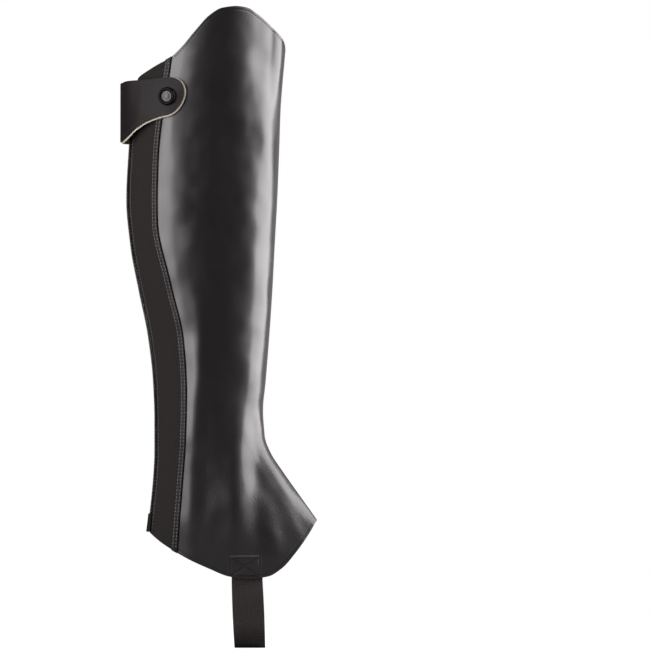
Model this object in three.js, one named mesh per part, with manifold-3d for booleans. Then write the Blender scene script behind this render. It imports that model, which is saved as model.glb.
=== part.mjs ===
// A tall half chap for the right leg: a leather gaiter that closes with a zip down the
// back of the calf, an elastic gore beside the zip, a snap tab over the top of the zip
// and an elastic strap that passes under the boot.
//
// Millimetres. +Z runs up the leg, +X to the wearer's front, and the outer side of the
// leg is -Y. The origin is on the axis of the leg at the widest part of the calf.
//
// Every panel lies on one surface, the leg form. A place on it is a height z and a
// distance round the leg from the zip, positive round the outer side. A panel is a
// block of cells of one shared grid, given thickness between two offsets from the form.

import * as THREE from 'three';
import Module from 'manifold-3d';
import { mergeVertices } from 'three/addons/utils/BufferGeometryUtils.js';

// ---------------------------------------------------------------- driving dimensions

const SEAM_GAP = 0.3;           // between two pieces at a seam
const LEATHER = 1.5;            // outer leather
const LINING = 1.0;             // pigskin lining
const ELASTIC = 1.2;            // gore elastic
const TAPE = 1.2;               // zip tape
const TAPE_DEPTH = LEATHER + SEAM_GAP;

const ZIP_OPENING = 7.5;        // from the middle of the zip to the edge of each panel
const TAPE_WIDTH = 13;          // one tape, from the middle of the zip
const STRIP_WIDTH = 5.5;        // stitched strip over the gore's front seam
const STRIP = 1.2;
const LAP = 7;                  // the shin panel laps this far over the inner vamp
const LAP_RAMP = 10;            // and drops back to its own level over this distance

const KNEE_LINE = 60;           // grid rows are level from here down to the ankle
const VAMP_TOP = -200;          // top edge of the inner vamp
const VAMP_CORNER = 14;         // its front corner is rounded down by this much
const VAMP_CORNER_RUN = 12;     // over this distance round the leg

// Horizontal sections of the leg form. back and front are where it crosses the XZ
// plane, half is its greatest half width, and widest is where that lies from back to
// front. heel is the exponent of the back curve, 2 in an ellipse and more where it is
// blunter. toe is the power of the front curve, 0.5 in an ellipse and more where the
// leather is pinched to a ridge.
const SECTIONS = [
  { z: -350, back: -51, front: 143, half: 24.5, widest: 0.39, toe: 1.25, heel: 2.3 },
  { z: -331, back: -50, front: 131.5, half: 28, widest: 0.41, toe: 1.25, heel: 2.3 },
  { z: -310, back: -49, front: 117.5, half: 32.5, widest: 0.43, toe: 1.2, heel: 2.3 },
  { z: -282, back: -45.8, front: 99.2, half: 36.5, widest: 0.46, toe: 1.05, heel: 2.3 },
  { z: -260, back: -43.3, front: 83.6, half: 37, widest: 0.48, toe: 0.9, heel: 2.2 },
  { z: -240, back: -41.6, front: 69.5, half: 36.3, widest: 0.49, toe: 0.75, heel: 2.2 },
  { z: -222, back: -40.8, front: 58, half: 36.5, widest: 0.5, toe: 0.62, heel: 2.1 },
  { z: -208, back: -40.8, front: 53.2, half: 37, widest: 0.5, toe: 0.56, heel: 2.1 },
  { z: -194, back: -40.8, front: 52.6, half: 37.5, widest: 0.5, toe: 0.52, heel: 2.1 },
  { z: -160, back: -42, front: 55.8, half: 38.6, widest: 0.5, toe: 0.5, heel: 2 },
  { z: -120, back: -46.5, front: 59, half: 40, widest: 0.5, toe: 0.5, heel: 2 },
  { z: -80, back: -54.6, front: 61.7, half: 42, widest: 0.5, toe: 0.5, heel: 2 },
  { z: -40, back: -62, front: 63.8, half: 44.2, widest: 0.5, toe: 0.5, heel: 2 },
  { z: 0, back: -65.5, front: 66, half: 46.6, widest: 0.5, toe: 0.5, heel: 2 },
  { z: 45, back: -63.4, front: 67.8, half: 48.8, widest: 0.5, toe: 0.5, heel: 2 },
  { z: 80, back: -60.4, front: 69, half: 49.8, widest: 0.5, toe: 0.5, heel: 2 },
  { z: 104, back: -58, front: 70.8, half: 49.6, widest: 0.5, toe: 0.5, heel: 2 },
  { z: 132, back: -55, front: 73.2, half: 48.2, widest: 0.5, toe: 0.5, heel: 2 },
  { z: 175, back: -51, front: 75, half: 46, widest: 0.5, toe: 0.5, heel: 2 },
];
const RIDGE_RADIUS = 2.5;       // least radius of the fold down the front of the foot
const RIDGE_REACH = 12;

// Bottom edge, seen from the side.
const HEM = [
  { x: -52, z: -287 },
  { x: -46, z: -293 },
  { x: -34, z: -302.7 },
  { x: -9, z: -317 },
  { x: 6, z: -324 },
  { x: 24, z: -331 },
  { x: 40, z: -333.2 },
  { x: 58, z: -331 },
  { x: 70, z: -324 },
  { x: 82.7, z: -309.8 },
  { x: 92.4, z: -295.7 },
  { x: 101, z: -281 },
  { x: 120, z: -262 },
];

// Top edge, by the angle round the leg from the zip: a high rise on the outer side of
// the knee, and a plain low curve inside it.
const TOP = [
  { angle: 0, z: 104.5 },
  { angle: 28, z: 112.5 },
  { angle: 47, z: 120.5 },
  { angle: 55.5, z: 124.5 },
  { angle: 65, z: 134 },
  { angle: 75, z: 148 },
  { angle: 86, z: 162 },
  { angle: 96, z: 168.5 },
  { angle: 108, z: 170 },
  { angle: 119, z: 168.5 },
  { angle: 129, z: 163.5 },
  { angle: 143, z: 155.5 },
  { angle: 154, z: 148.5 },
  { angle: 165, z: 141.5 },
  { angle: 180, z: 133.5 },
  { angle: 200, z: 127.5 },
  { angle: 230, z: 120 },
  { angle: 270, z: 114 },
  { angle: 310, z: 109.5 },
  { angle: 360, z: 104.5 },
];

// Back edge of the stitched strip between the gore and the leather.
const STRIP_LINE = [
  { z: -330, x: -27 },
  { z: -307, x: -25.5 },
  { z: -282, x: -22.9 },
  { z: -245, x: -19.3 },
  { z: -211, x: -17.6 },
  { z: -170, x: -18 },
  { z: -123, x: -21.2 },
  { z: -75, x: -31.9 },
  { z: -18, x: -43.6 },
  { z: 0, x: -43.8 },
  { z: 34, x: -42.8 },
  { z: 69, x: -39.2 },
  { z: 107, x: -33.4 },
  { z: 135, x: -30 },
];

// Soft troughs that fan down from the ankle, each along a line seen from the side.
const TROUGHS = [
  { side: 'outer', x0: 47, z0: -204, x1: 74, z1: -296, width: 10, depth: 2.4 },
  { side: 'outer', x0: 37, z0: -226, x1: 24, z1: -282, width: 12, depth: 1.6 },
  { side: 'outer', x0: 12, z0: -222, x1: 2, z1: -262, width: 11, depth: 1.2 },
  { side: 'inner', x0: 46, z0: -222, x1: 70, z1: -292, width: 10, depth: 2.2 },
  { side: 'inner', x0: 30, z0: -212, x1: 30, z1: -280, width: 12, depth: 1.6 },
  { side: 'inner', x0: 8, z0: -224, x1: -4, z1: -258, width: 11, depth: 1.2 },
];

// ------------------------------------------------------------------------- materials

const finish = (color, roughness, metalness = 0) =>
  new THREE.MeshStandardMaterial({ color, roughness, metalness });

const BLACK_LEATHER = finish(0x211f1f, 0.3);
const BLACK_ELASTIC = finish(0x292424, 0.85);
const BLACK_TAPE = finish(0x1c1a1a, 0.8);
const TAN_LINING = finish(0xa5866f, 0.85);
const BEIGE_BACKING = finish(0xb9a48c, 0.9);
const GUNMETAL = finish(0x3a3a3c, 0.35, 1);

// --------------------------------------------------------------------- curve helpers

// A smooth curve through the rows of a table that never overshoots them.
function curve(table, key, value) {
  const at = table.map((row) => row[key]);
  const to = table.map((row) => row[value]);
  const last = at.length - 1;
  const step = at.slice(1).map((a, i) => (to[i + 1] - to[i]) / (a - at[i]));
  const slope = at.map((_, i) => {
    if (i === 0) return step[0];
    if (i === last) return step[last - 1];
    if (step[i - 1] * step[i] <= 0) return 0;
    return (2 * step[i - 1] * step[i]) / (step[i - 1] + step[i]);
  });
  return (k) => {
    if (k <= at[0]) return to[0];
    if (k >= at[last]) return to[last];
    let i = 0;
    while (k > at[i + 1]) i += 1;
    const span = at[i + 1] - at[i];
    const t = (k - at[i]) / span;
    const rise = t * t * (3 - 2 * t);
    return to[i] + (to[i + 1] - to[i]) * rise
      + span * t * (1 - t) * (slope[i] * (1 - t) - slope[i + 1] * t);
  };
}

const mix = (a, b, t) => a + (b - a) * t;
const clamp = (v) => Math.min(1, Math.max(0, v));
const smooth = (v) => clamp(v) ** 2 * (3 - 2 * clamp(v));

// The root of a rising function between two bounds.
function solve(rising, low, high) {
  for (let i = 0; i < 40; i += 1) {
    const middle = (low + high) / 2;
    if (rising(middle) > 0) high = middle;
    else low = middle;
  }
  return (low + high) / 2;
}

// -------------------------------------------------------------------------- leg form

const sectionCurves = Object.fromEntries(
  ['back', 'front', 'half', 'widest', 'toe', 'heel'].map((key) => [key, curve(SECTIONS, 'z', key)]),
);
const hemHeight = curve(HEM, 'x', 'z');
const topHeight = curve(TOP, 'angle', 'z');
const stripX = curve(STRIP_LINE, 'z', 'x');

const ARC_STEPS = 240;
const sectionCache = new Map();

// One section: its curves, and the distance round it from the back to each angle.
function sectionAt(z) {
  if (sectionCache.has(z)) return sectionCache.get(z);
  const s = Object.fromEntries(Object.entries(sectionCurves).map(([key, of]) => [key, of(z)]));
  s.centre = mix(s.back, s.front, s.widest);
  s.arcs = [0];
  let [x, y] = sectionPoint(s, 0);
  for (let i = 1; i <= ARC_STEPS; i += 1) {
    const [nextX, nextY] = sectionPoint(s, (Math.PI * i) / ARC_STEPS);
    s.arcs.push(s.arcs[i - 1] + Math.hypot(nextX - x, nextY - y));
    [x, y] = [nextX, nextY];
  }
  s.girth = 2 * s.arcs[ARC_STEPS];
  sectionCache.set(z, s);
  return s;
}

// A point of a section, and how far it is from the XZ plane, for an angle from 0 at the
// back to PI at the front.
function sectionPoint(s, angle) {
  const c = Math.cos(angle);
  const out = Math.max(0, Math.sin(angle));
  if (c >= 0) {
    const power = 2 / s.heel;
    return [s.centre - (s.centre - s.back) * c ** power, s.half * out ** power];
  }
  const short = (s.front - s.centre) * (1 + c);
  const round = 2 * RIDGE_RADIUS * short * Math.exp(-short / RIDGE_REACH);
  return [s.front - short, Math.hypot(s.half * out ** (2 * s.toe), Math.sqrt(round))];
}

// The angle at a distance from the back, up to half the girth.
function angleAt(s, distance) {
  let i = 0;
  while (i < ARC_STEPS - 1 && s.arcs[i + 1] < distance) i += 1;
  const t = (distance - s.arcs[i]) / (s.arcs[i + 1] - s.arcs[i]);
  return (Math.PI * (i + clamp(t))) / ARC_STEPS;
}

// A place at height z and distance d round the leg: negative distances go round the
// inner side. angle is in degrees from the zip, from 0 to 360.
function placeOn(z, d) {
  const s = sectionAt(z);
  const turned = ((d % s.girth) + s.girth) % s.girth;
  const inner = turned > s.girth / 2;
  const angle = angleAt(s, inner ? s.girth - turned : turned);
  const [x, out] = sectionPoint(s, angle);
  const degrees = THREE.MathUtils.radToDeg(angle);
  return {
    point: new THREE.Vector3(x, inner ? out : -out, z),
    angle: inner ? 360 - degrees : degrees,
    inner,
  };
}

function normalOn(z, d) {
  const step = 0.4;
  const round = placeOn(z, d + step).point.sub(placeOn(z, d - step).point);
  const up = placeOn(z + step, d).point.sub(placeOn(z - step, d).point);
  return round.cross(up).normalize();
}

// How far the leather is pushed in by the soft troughs of the ankle.
function troughDepth(point, inner) {
  let depth = 0;
  for (const fold of TROUGHS) {
    if (inner !== (fold.side === 'inner')) continue;
    const dx = fold.x1 - fold.x0;
    const dz = fold.z1 - fold.z0;
    const length = Math.hypot(dx, dz);
    const along = ((point.x - fold.x0) * dx + (point.z - fold.z0) * dz) / length ** 2;
    const across = ((point.x - fold.x0) * dz - (point.z - fold.z0) * dx) / length;
    const taper = Math.sin(Math.PI * clamp(along)) ** 0.8;
    depth += fold.depth * taper * Math.exp(-((across / (fold.width * 0.6)) ** 2));
  }
  return depth;
}

// A point on the form, moved out by an offset.
function skin(z, d, offset) {
  const place = placeOn(z, d);
  const depth = troughDepth(place.point, place.inner);
  return place.point.addScaledVector(normalOn(z, d), offset - depth);
}

// The distance round the leg to a given x on the back half of the outer side.
function distanceToX(z, x) {
  const s = sectionAt(z);
  const along = clamp((s.centre - x) / (s.centre - s.back));
  const angle = Math.acos(along ** (s.heel / 2));
  const place = (angle / Math.PI) * ARC_STEPS;
  const i = Math.floor(place);
  return mix(s.arcs[i], s.arcs[i + 1], place - i);
}

// ----------------------------------------------------------------------- shared grid

const half = (z) => sectionAt(z).girth / 2;
const girth = (z) => sectionAt(z).girth;
const stripBack = (z) => distanceToX(z, stripX(z));
const SLIDER_Z = 94;
const SLIT = 2;                 // each tape turns out this much above the slider's wedge
const slit = (z) => SEAM_GAP / 2 + SLIT * smooth((z - SLIDER_Z + 6) / 8);

// Lines that run up the leg, and how many columns of cells lie before each of them.
const LINES = [
  { name: 'zip', at: slit, cells: 0 },
  { name: 'goreBack', at: () => ZIP_OPENING, cells: 1 },
  { name: 'tapeEdge', at: () => TAPE_WIDTH, cells: 1 },
  { name: 'stripBack', at: stripBack, cells: 3 },
  { name: 'goreFront', at: (z) => stripBack(z) + (STRIP_WIDTH - SEAM_GAP) / 2, cells: 1 },
  { name: 'shinBack', at: (z) => stripBack(z) + (STRIP_WIDTH + SEAM_GAP) / 2, cells: 1 },
  { name: 'stripFront', at: (z) => stripBack(z) + STRIP_WIDTH, cells: 1 },
  { name: 'lap', at: (z) => half(z) - LAP, cells: 13 },
  { name: 'front', at: half, cells: 2 },
  { name: 'corner', at: (z) => half(z) + VAMP_CORNER_RUN, cells: 3 },
  { name: 'liningEnd', at: (z) => girth(z) - TAPE_WIDTH - SEAM_GAP, cells: 13 },
  { name: 'innerTapeEdge', at: (z) => girth(z) - TAPE_WIDTH, cells: 1 },
  { name: 'innerEdge', at: (z) => girth(z) - ZIP_OPENING, cells: 1 },
  { name: 'innerZip', at: (z) => girth(z) - slit(z), cells: 1 },
];

const columns = [];
const column = {};
LINES.forEach((line, index) => {
  for (let i = 1; i <= line.cells; i += 1) {
    const before = LINES[index - 1].at;
    const t = i / line.cells;
    columns.push((z) => mix(before(z), line.at(z), t));
  }
  if (line.cells === 0) columns.push(line.at);
  column[line.name] = columns.length - 1;
});

// Rows: the foot, the tuck of the vamp under the shin panel, the shin, and the top.
const FOOT_ROWS = 11;
const SHIN_ROWS = 12;
const TOP_ROWS = 6;
const row = {
  vampSeam: FOOT_ROWS,
  vampTuck: FOOT_ROWS + 1,
  top: FOOT_ROWS + 1 + SHIN_ROWS + TOP_ROWS,
};

// The hem and the top edge are looked for between these heights.
const HEM_RANGE = [-345, -262];
const TOP_RANGE = [90, 175];

// Height of the lower edge of the shin panel where it laps over the inner vamp.
function seamHeight(columnIndex) {
  const past = columns[columnIndex](VAMP_TOP) - half(VAMP_TOP);
  return VAMP_TOP - VAMP_CORNER * (1 - smooth(past / VAMP_CORNER_RUN));
}

function rowHeights(columnIndex) {
  const at = columns[columnIndex];
  const hem = solve((z) => z - hemHeight(placeOn(z, at(z)).point.x), ...HEM_RANGE);
  const top = solve((z) => z - topHeight(placeOn(z, at(z)).angle), ...TOP_RANGE);
  const seam = seamHeight(columnIndex);
  const tuck = seam + LAP;
  const heights = [];
  for (let i = 0; i < FOOT_ROWS; i += 1) heights.push(mix(hem, seam, i / FOOT_ROWS));
  heights.push(seam);
  for (let i = 0; i < SHIN_ROWS; i += 1) heights.push(mix(tuck, KNEE_LINE, i / SHIN_ROWS));
  for (let i = 0; i <= TOP_ROWS; i += 1) heights.push(mix(KNEE_LINE, top, i / TOP_ROWS));
  return heights;
}
const heights = columns.map((_, i) => rowHeights(i));

// ----------------------------------------------------------------------- wall solids

// A closed wall over the cells that keep() takes. place(i, j, side) gives the point of a
// grid crossing on the outer side (1) or the inner side (0) of the wall.
function wall(across, up, keep, place) {
  const positions = [];
  const index = [];
  const ids = new Map();
  const id = (i, j, side) => {
    const key = (i * (up + 1) + j) * 2 + side;
    if (!ids.has(key)) {
      ids.set(key, positions.length / 3);
      positions.push(...place(i, j, side).toArray());
    }
    return ids.get(key);
  };
  const quad = (a, b, c, d) => index.push(a, b, c, a, c, d);
  const kept = (i, j) => i >= 0 && j >= 0 && i < across && j < up && keep(i, j);
  for (let i = 0; i < across; i += 1) {
    for (let j = 0; j < up; j += 1) {
      if (!kept(i, j)) continue;
      const corners = [[i, j], [i + 1, j], [i + 1, j + 1], [i, j + 1]];
      const beside = [[i, j - 1], [i + 1, j], [i, j + 1], [i - 1, j]];
      quad(...corners.map(([a, b]) => id(a, b, 1)));
      quad(id(i, j, 0), id(i, j + 1, 0), id(i + 1, j + 1, 0), id(i + 1, j, 0));
      beside.forEach((cell, n) => {
        if (kept(...cell)) return;
        const [a, b] = [corners[n], corners[(n + 1) % 4]];
        quad(id(...b, 1), id(...a, 1), id(...a, 0), id(...b, 0));
      });
    }
  }
  const geometry = new THREE.BufferGeometry();
  geometry.setAttribute('position', new THREE.Float32BufferAttribute(positions, 3));
  geometry.setIndex(index);
  return geometry;
}

const chap = new THREE.Group();

function add(name, geometry, material, parent = chap) {
  const mesh = new THREE.Mesh(geometry, material);
  mesh.name = name;
  geometry.computeVertexNormals();
  parent.add(mesh);
  return mesh;
}

// A panel of the shared grid, between two offsets from the form.
function panel(keep, outside, thickness, lift = () => 0) {
  return wall(columns.length - 1, row.top, keep, (i, j, side) => {
    const z = heights[i][j];
    const d = columns[i](z);
    const offset = outside + lift(z, d, i) - (side ? 0 : thickness);
    return skin(z, d, offset);
  });
}

// ---------------------------------------------------------------------- cloth panels

// The shin panel is one piece of leather from the gore round the front to the zip, and
// its outer side runs down over the foot. It is lifted where it laps over the vamp.
function lapLift(z, d, i) {
  const toLap = Math.max(0, half(z) - LAP - d) / LAP_RAMP;
  const toTuck = Math.max(0, z - seamHeight(i) - LAP) / LAP_RAMP;
  return (LEATHER + SEAM_GAP) * (1 - smooth(Math.hypot(toLap, toTuck)));
}
const inShin = (i, j) => i >= column.shinBack && i < column.innerEdge
  && (i < column.front || j >= row.vampSeam);
add('shin_leather', panel(inShin, 0, LEATHER, lapLift), BLACK_LEATHER);

// The vamp is the separate leather of the inner side of the foot, with a rounded top
// corner at the front of the ankle.
const inVamp = (i, j) => i >= column.lap && i < column.innerEdge && j < row.vampTuck;
add('vamp_inner_leather', panel(inVamp, 0, LEATHER), BLACK_LEATHER);

const inGore = (i) => i >= column.goreBack && i < column.goreFront;
add('gore_elastic', panel(inGore, -SEAM_GAP, ELASTIC), BLACK_ELASTIC);

const inStrip = (i) => i >= column.stripBack && i < column.stripFront;
add('gore_seam_strip', panel(inStrip, SEAM_GAP + STRIP, STRIP), BLACK_LEATHER);

const inOuterTape = (i) => i < column.tapeEdge;
add('zip_tape_outer', panel(inOuterTape, -TAPE_DEPTH, TAPE), BLACK_TAPE);

const inInnerTape = (i) => i >= column.innerTapeEdge;
add('zip_tape_inner', panel(inInnerTape, -TAPE_DEPTH, TAPE), BLACK_TAPE);

// ---------------------------------------------------------- elastic strap and lining

const STRAP_X = 39.5;            // middle of the strap
const STRAP_WIDTH = 27;
const STRAP = 1.6;
const STRAP_TUCK = 20;          // sewn in above the hem
const STRAP_OFFSET = -LEATHER - 0.4;
const STRAP_BOTTOM = -394;
const STRAP_HALF_SPREAD = 26;   // widest half distance between the two legs of the loop
const STRAP_CORNER = 22;

// The lining lies under the leather, and stands in by the strap's thickness where the
// ends of the strap are sewn between the two. It comes back to the leather between the
// two distances of LINING_RAMP from the strap.
const LINING_RAMP = [8, 16];
function strapLift(z, d) {
  const beside = Math.abs(placeOn(z, d).point.x - STRAP_X) - STRAP_WIDTH / 2;
  const above = z - hemHeight(STRAP_X) - STRAP_TUCK;
  const [near, far] = LINING_RAMP;
  const held = (distance) => smooth((far - distance) / (far - near));
  return -(STRAP + 0.5) * held(beside) * held(above);
}
const inLining = (i) => i >= column.shinBack && i < column.liningEnd;
add('lining', panel(inLining, -LEATHER - SEAM_GAP, LINING, strapLift), TAN_LINING);

// Half the width of the form at a place seen from the side.
function halfWidthAt(z, x) {
  const s = sectionAt(z);
  const angle = solve((a) => sectionPoint(s, a)[0] - x, 0, Math.PI);
  return sectionPoint(s, angle)[1];
}

// The outer face of a free leg of the strap, as distance from the middle of the loop.
const HEM_AT_STRAP = hemHeight(STRAP_X);
const STRAP_SETTLE = 14;
const STRAP_PATH = [
  { z: STRAP_BOTTOM, out: STRAP_HALF_SPREAD - 0.5 },
  { z: HEM_AT_STRAP - 20, out: STRAP_HALF_SPREAD },
  { z: HEM_AT_STRAP - 4, out: STRAP_HALF_SPREAD - 1.5 },
];

// How far the form's side lies from the XZ plane at a place seen from the side, once it
// is moved out by an offset along its normal.
function sideAt(z, x, offset) {
  const width = halfWidthAt(z, x);
  const slopeX = (halfWidthAt(z, x + 1) - halfWidthAt(z, x - 1)) / 2;
  const slopeZ = (halfWidthAt(z + 1, x) - halfWidthAt(z - 1, x)) / 2;
  return width + offset * Math.hypot(1, slopeX, slopeZ);
}

// How far one leg of the strap lies from the XZ plane: it leaves the hem along the
// leather, and then hangs straight down.
const strapFree = curve(STRAP_PATH, 'z', 'out');
function strapLegAt(x, z, depth) {
  const leaving = sideAt(Math.max(z, HEM_AT_STRAP), x, STRAP_OFFSET - depth);
  const below = Math.max(0, HEM_AT_STRAP - z);
  return mix(leaving, strapFree(z) - depth, smooth(below / STRAP_SETTLE));
}

// Rows of the strap from the sewn end on the outer side to the sewn end on the inner
// side: down one leg, round a corner, across the sole, and up again.
const STRAP_COLUMNS = 4;
const SEWN_ROWS = 7;
const FREE_ROWS = 3;
const TURN_ROWS = 5;
const strapStart = HEM_AT_STRAP + STRAP_TUCK;
const strapFlex = HEM_AT_STRAP - 8;
const strapTurn = STRAP_BOTTOM + STRAP_CORNER;
const strapRows = [];
for (let i = 0; i <= SEWN_ROWS; i += 1) strapRows.push({ z: mix(strapStart, strapFlex, i / SEWN_ROWS) });
for (let i = 1; i <= FREE_ROWS; i += 1) strapRows.push({ z: mix(strapFlex, strapTurn, i / FREE_ROWS) });
for (let i = 1; i <= TURN_ROWS; i += 1) strapRows.push({ turn: (Math.PI / 2) * (i / TURN_ROWS) });
const strapCount = strapRows.length;

function strapPoint(i, j, side) {
  const x = STRAP_X + STRAP_WIDTH * (0.5 - i / STRAP_COLUMNS);
  const mirrored = j >= strapCount;
  const at = strapRows[mirrored ? 2 * strapCount - 1 - j : j];
  const depth = side ? 0 : STRAP;
  const sign = mirrored ? 1 : -1;
  if (at.turn === undefined) {
    return new THREE.Vector3(x, sign * strapLegAt(x, at.z, depth), at.z);
  }
  const radius = STRAP_CORNER - depth;
  const middle = strapLegAt(x, strapTurn, 0) - STRAP_CORNER;
  const out = middle + radius * Math.cos(at.turn);
  return new THREE.Vector3(x, sign * out, strapTurn - radius * Math.sin(at.turn));
}
add('foot_strap', wall(STRAP_COLUMNS, 2 * strapCount - 1, () => true, strapPoint), BLACK_ELASTIC);

// ------------------------------------------------------------------ zip end and tab

// A leather guard folded over the bottom end of the zip.
const GUARD_HALF = 11;
const GUARD_HEIGHT = 16;
const GUARD = 1.3;
const GUARD_ARCH = 0.7;
const GUARD_COLUMNS = 8;
const GUARD_ROWS = 3;
const [backHem] = heights[0];
const guardWall = wall(GUARD_COLUMNS, GUARD_ROWS, () => true, (i, j, side) => {
  const d = GUARD_HALF * (i / (GUARD_COLUMNS / 2) - 1);
  const z = mix(backHem, backHem + GUARD_HEIGHT, j / GUARD_ROWS);
  const arch = GUARD_ARCH * smooth((1 - Math.abs(d) / GUARD_HALF) * 2);
  return skin(z, d, SEAM_GAP + 0.1 + arch + (side ? GUARD : 0));
});
add('zip_end_guard', guardWall, BLACK_LEATHER);

// The snap tab: sewn to the inner leather, it stands off the zip in a loose fold and
// lies along the gore to the snap. along is the distance from the zip, and off is how
// far its back stands from the form at the height TAB_LEVEL. fold is how much of the
// form's own lean the fold leaves out.
const TAB = [
  { along: -40, low: 53, high: 98, off: 0.4, fold: 0 },
  { along: -34, low: 52, high: 98.5, off: 0.4, fold: 0 },
  { along: -27, low: 51, high: 99, off: 1.2, fold: 0.2 },
  { along: -18, low: 50, high: 99.5, off: 4.6, fold: 0.7 },
  { along: -8, low: 50, high: 100, off: 7.8, fold: 1 },
  { along: 0, low: 50, high: 100.5, off: 8.6, fold: 1 },
  { along: 8, low: 50.5, high: 101, off: 9, fold: 1 },
  { along: 18, low: 54, high: 102.8, off: 8.8, fold: 0.9 },
  { along: 29, low: 62, high: 104, off: 6.8, fold: 0.5 },
  { along: 39, low: 68, high: 105, off: 4.7, fold: 0.1 },
  { along: 48, low: 71.5, high: 106, off: 3.9, fold: 0 },
  { along: 58, low: 74.5, high: 107.2, off: 3.6, fold: 0 },
  { along: 65, low: 77.5, high: 106.2, off: 3.1, fold: 0 },
  { along: 69.5, low: 82, high: 102.5, off: 2.6, fold: 0 },
  { along: 72, low: 87.5, high: 97.5, off: 2.2, fold: 0 },
];
const TAB_LEVEL = 76;
const TAB_LEATHER = 1.4;
const TAB_BACKING = 1;
const TAB_ROWS = 4;
const tabOff = curve(TAB, 'along', 'off');

function tabPoint(i, j, offset) {
  const at = TAB[i];
  const z = mix(at.low, at.high, j / TAB_ROWS);
  const lean = at.fold * (sectionCurves.back(z) - sectionCurves.back(TAB_LEVEL));
  const place = placeOn(z, at.along);
  return place.point.addScaledVector(normalOn(z, at.along), at.off + lean + offset);
}

function tabWall(near, far) {
  return wall(TAB.length - 1, TAB_ROWS, () => true, (i, j, side) => tabPoint(i, j, side ? far : near));
}
const TAB_FACE = TAB_BACKING + SEAM_GAP;
add('snap_tab_backing', tabWall(0, TAB_BACKING), BEIGE_BACKING);
add('snap_tab_leather', tabWall(TAB_FACE, TAB_FACE + TAB_LEATHER), BLACK_LEATHER);

// ------------------------------------------------------------------------------ snap

const SNAP_ALONG = 58;
const SNAP_Z = 90.6;
const SNAP_RADIUS = 8;

// A turned piece with its axis along the form's normal at the snap, from an outline of
// radius and height above the back of the tab.
const TURNED_SIDES = 24;
const SNAP_OUT = normalOn(SNAP_Z, SNAP_ALONG);
const SNAP_SEAT = placeOn(SNAP_Z, SNAP_ALONG).point.addScaledVector(SNAP_OUT, tabOff(SNAP_ALONG));

function turnedAtSnap(name, outline, lean) {
  const points = outline.map(([radius, height]) => new THREE.Vector2(radius, height));
  const lathe = new THREE.LatheGeometry(points, TURNED_SIDES);
  lathe.deleteAttribute('normal');
  lathe.deleteAttribute('uv');
  const geometry = mergeVertices(lathe, 1e-4);
  const mesh = add(name, geometry, GUNMETAL);
  const upright = new THREE.Quaternion().setFromUnitVectors(new THREE.Vector3(0, 1, 0), SNAP_OUT);
  mesh.quaternion.setFromAxisAngle(new THREE.Vector3(0, 0, 1), lean).multiply(upright);
  mesh.position.copy(SNAP_SEAT);
}

// The slope of a curve at a place, as an angle.
const leanOver = (curveOf, at, run) => Math.atan((curveOf(at + run) - curveOf(at - run)) / (2 * run));

// The tab is closer to the leather in front of the snap than behind it, and the cap
// leans with it.
const TAB_LEAN = -leanOver(tabOff, SNAP_ALONG, 6);
const CAP_SEAT = TAB_FACE + TAB_LEATHER + 0.4;
turnedAtSnap('snap_cap', [
  [0, CAP_SEAT],
  [SNAP_RADIUS, CAP_SEAT],
  [SNAP_RADIUS, CAP_SEAT + 0.9],
  [SNAP_RADIUS - 0.6, CAP_SEAT + 2],
  [SNAP_RADIUS - 1.6, CAP_SEAT + 2.6],
  [SNAP_RADIUS - 2.6, CAP_SEAT + 2.2],
  [SNAP_RADIUS - 2.9, CAP_SEAT + 1.7],
  [2.5, CAP_SEAT + 2.1],
  [0, CAP_SEAT + 2.2],
], TAB_LEAN);

// The stud stands on the elastic behind the tab, up to a flange and a short head.
const STUD_FOOT = 0.35 - tabOff(SNAP_ALONG);
const STUD_TOP = -0.75;
turnedAtSnap('snap_stud', [
  [0, STUD_FOOT],
  [2.2, STUD_FOOT],
  [2.2, STUD_TOP - 1],
  [4, STUD_TOP - 1],
  [4, STUD_TOP - 0.45],
  [2, STUD_TOP - 0.45],
  [2, STUD_TOP],
  [0, STUD_TOP],
], 0);

// ----------------------------------------------------------------------- zip slider

const wasm = await Module();
wasm.setup();

function toManifold(geometry) {
  const bare = geometry.clone();
  bare.deleteAttribute('normal');
  bare.deleteAttribute('uv');
  const merged = mergeVertices(bare, 1e-4);
  return new wasm.Manifold(new wasm.Mesh({
    numProp: 3,
    vertProperties: new Float32Array(merged.attributes.position.array),
    triVerts: new Uint32Array(merged.index.array),
  }));
}

function toGeometry(solid) {
  const mesh = solid.getMesh();
  const geometry = new THREE.BufferGeometry();
  geometry.setAttribute('position', new THREE.BufferAttribute(mesh.vertProperties, 3));
  geometry.setIndex(new THREE.BufferAttribute(mesh.triVerts, 1));
  return geometry;
}

// A box between two corners.
function block(x, y, z) {
  const box = new THREE.BoxGeometry(x[1] - x[0], y[1] - y[0], z[1] - z[0]);
  return box.translate((x[0] + x[1]) / 2, (y[0] + y[1]) / 2, (z[0] + z[1]) / 2);
}

// A flat plate across the leg, from an outline of [y, z] points, between two x.
function plate(outline, x, window) {
  const shape = new THREE.Shape(outline.map(([y, z]) => new THREE.Vector2(y, z)));
  if (window) shape.holes.push(new THREE.Path(window.map(([y, z]) => new THREE.Vector2(y, z))));
  const geometry = new THREE.ExtrudeGeometry(shape, { depth: x[1] - x[0], bevelEnabled: false });
  geometry.rotateX(Math.PI / 2);
  geometry.rotateZ(Math.PI / 2);
  return geometry.translate(x[0], 0, 0);
}

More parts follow.
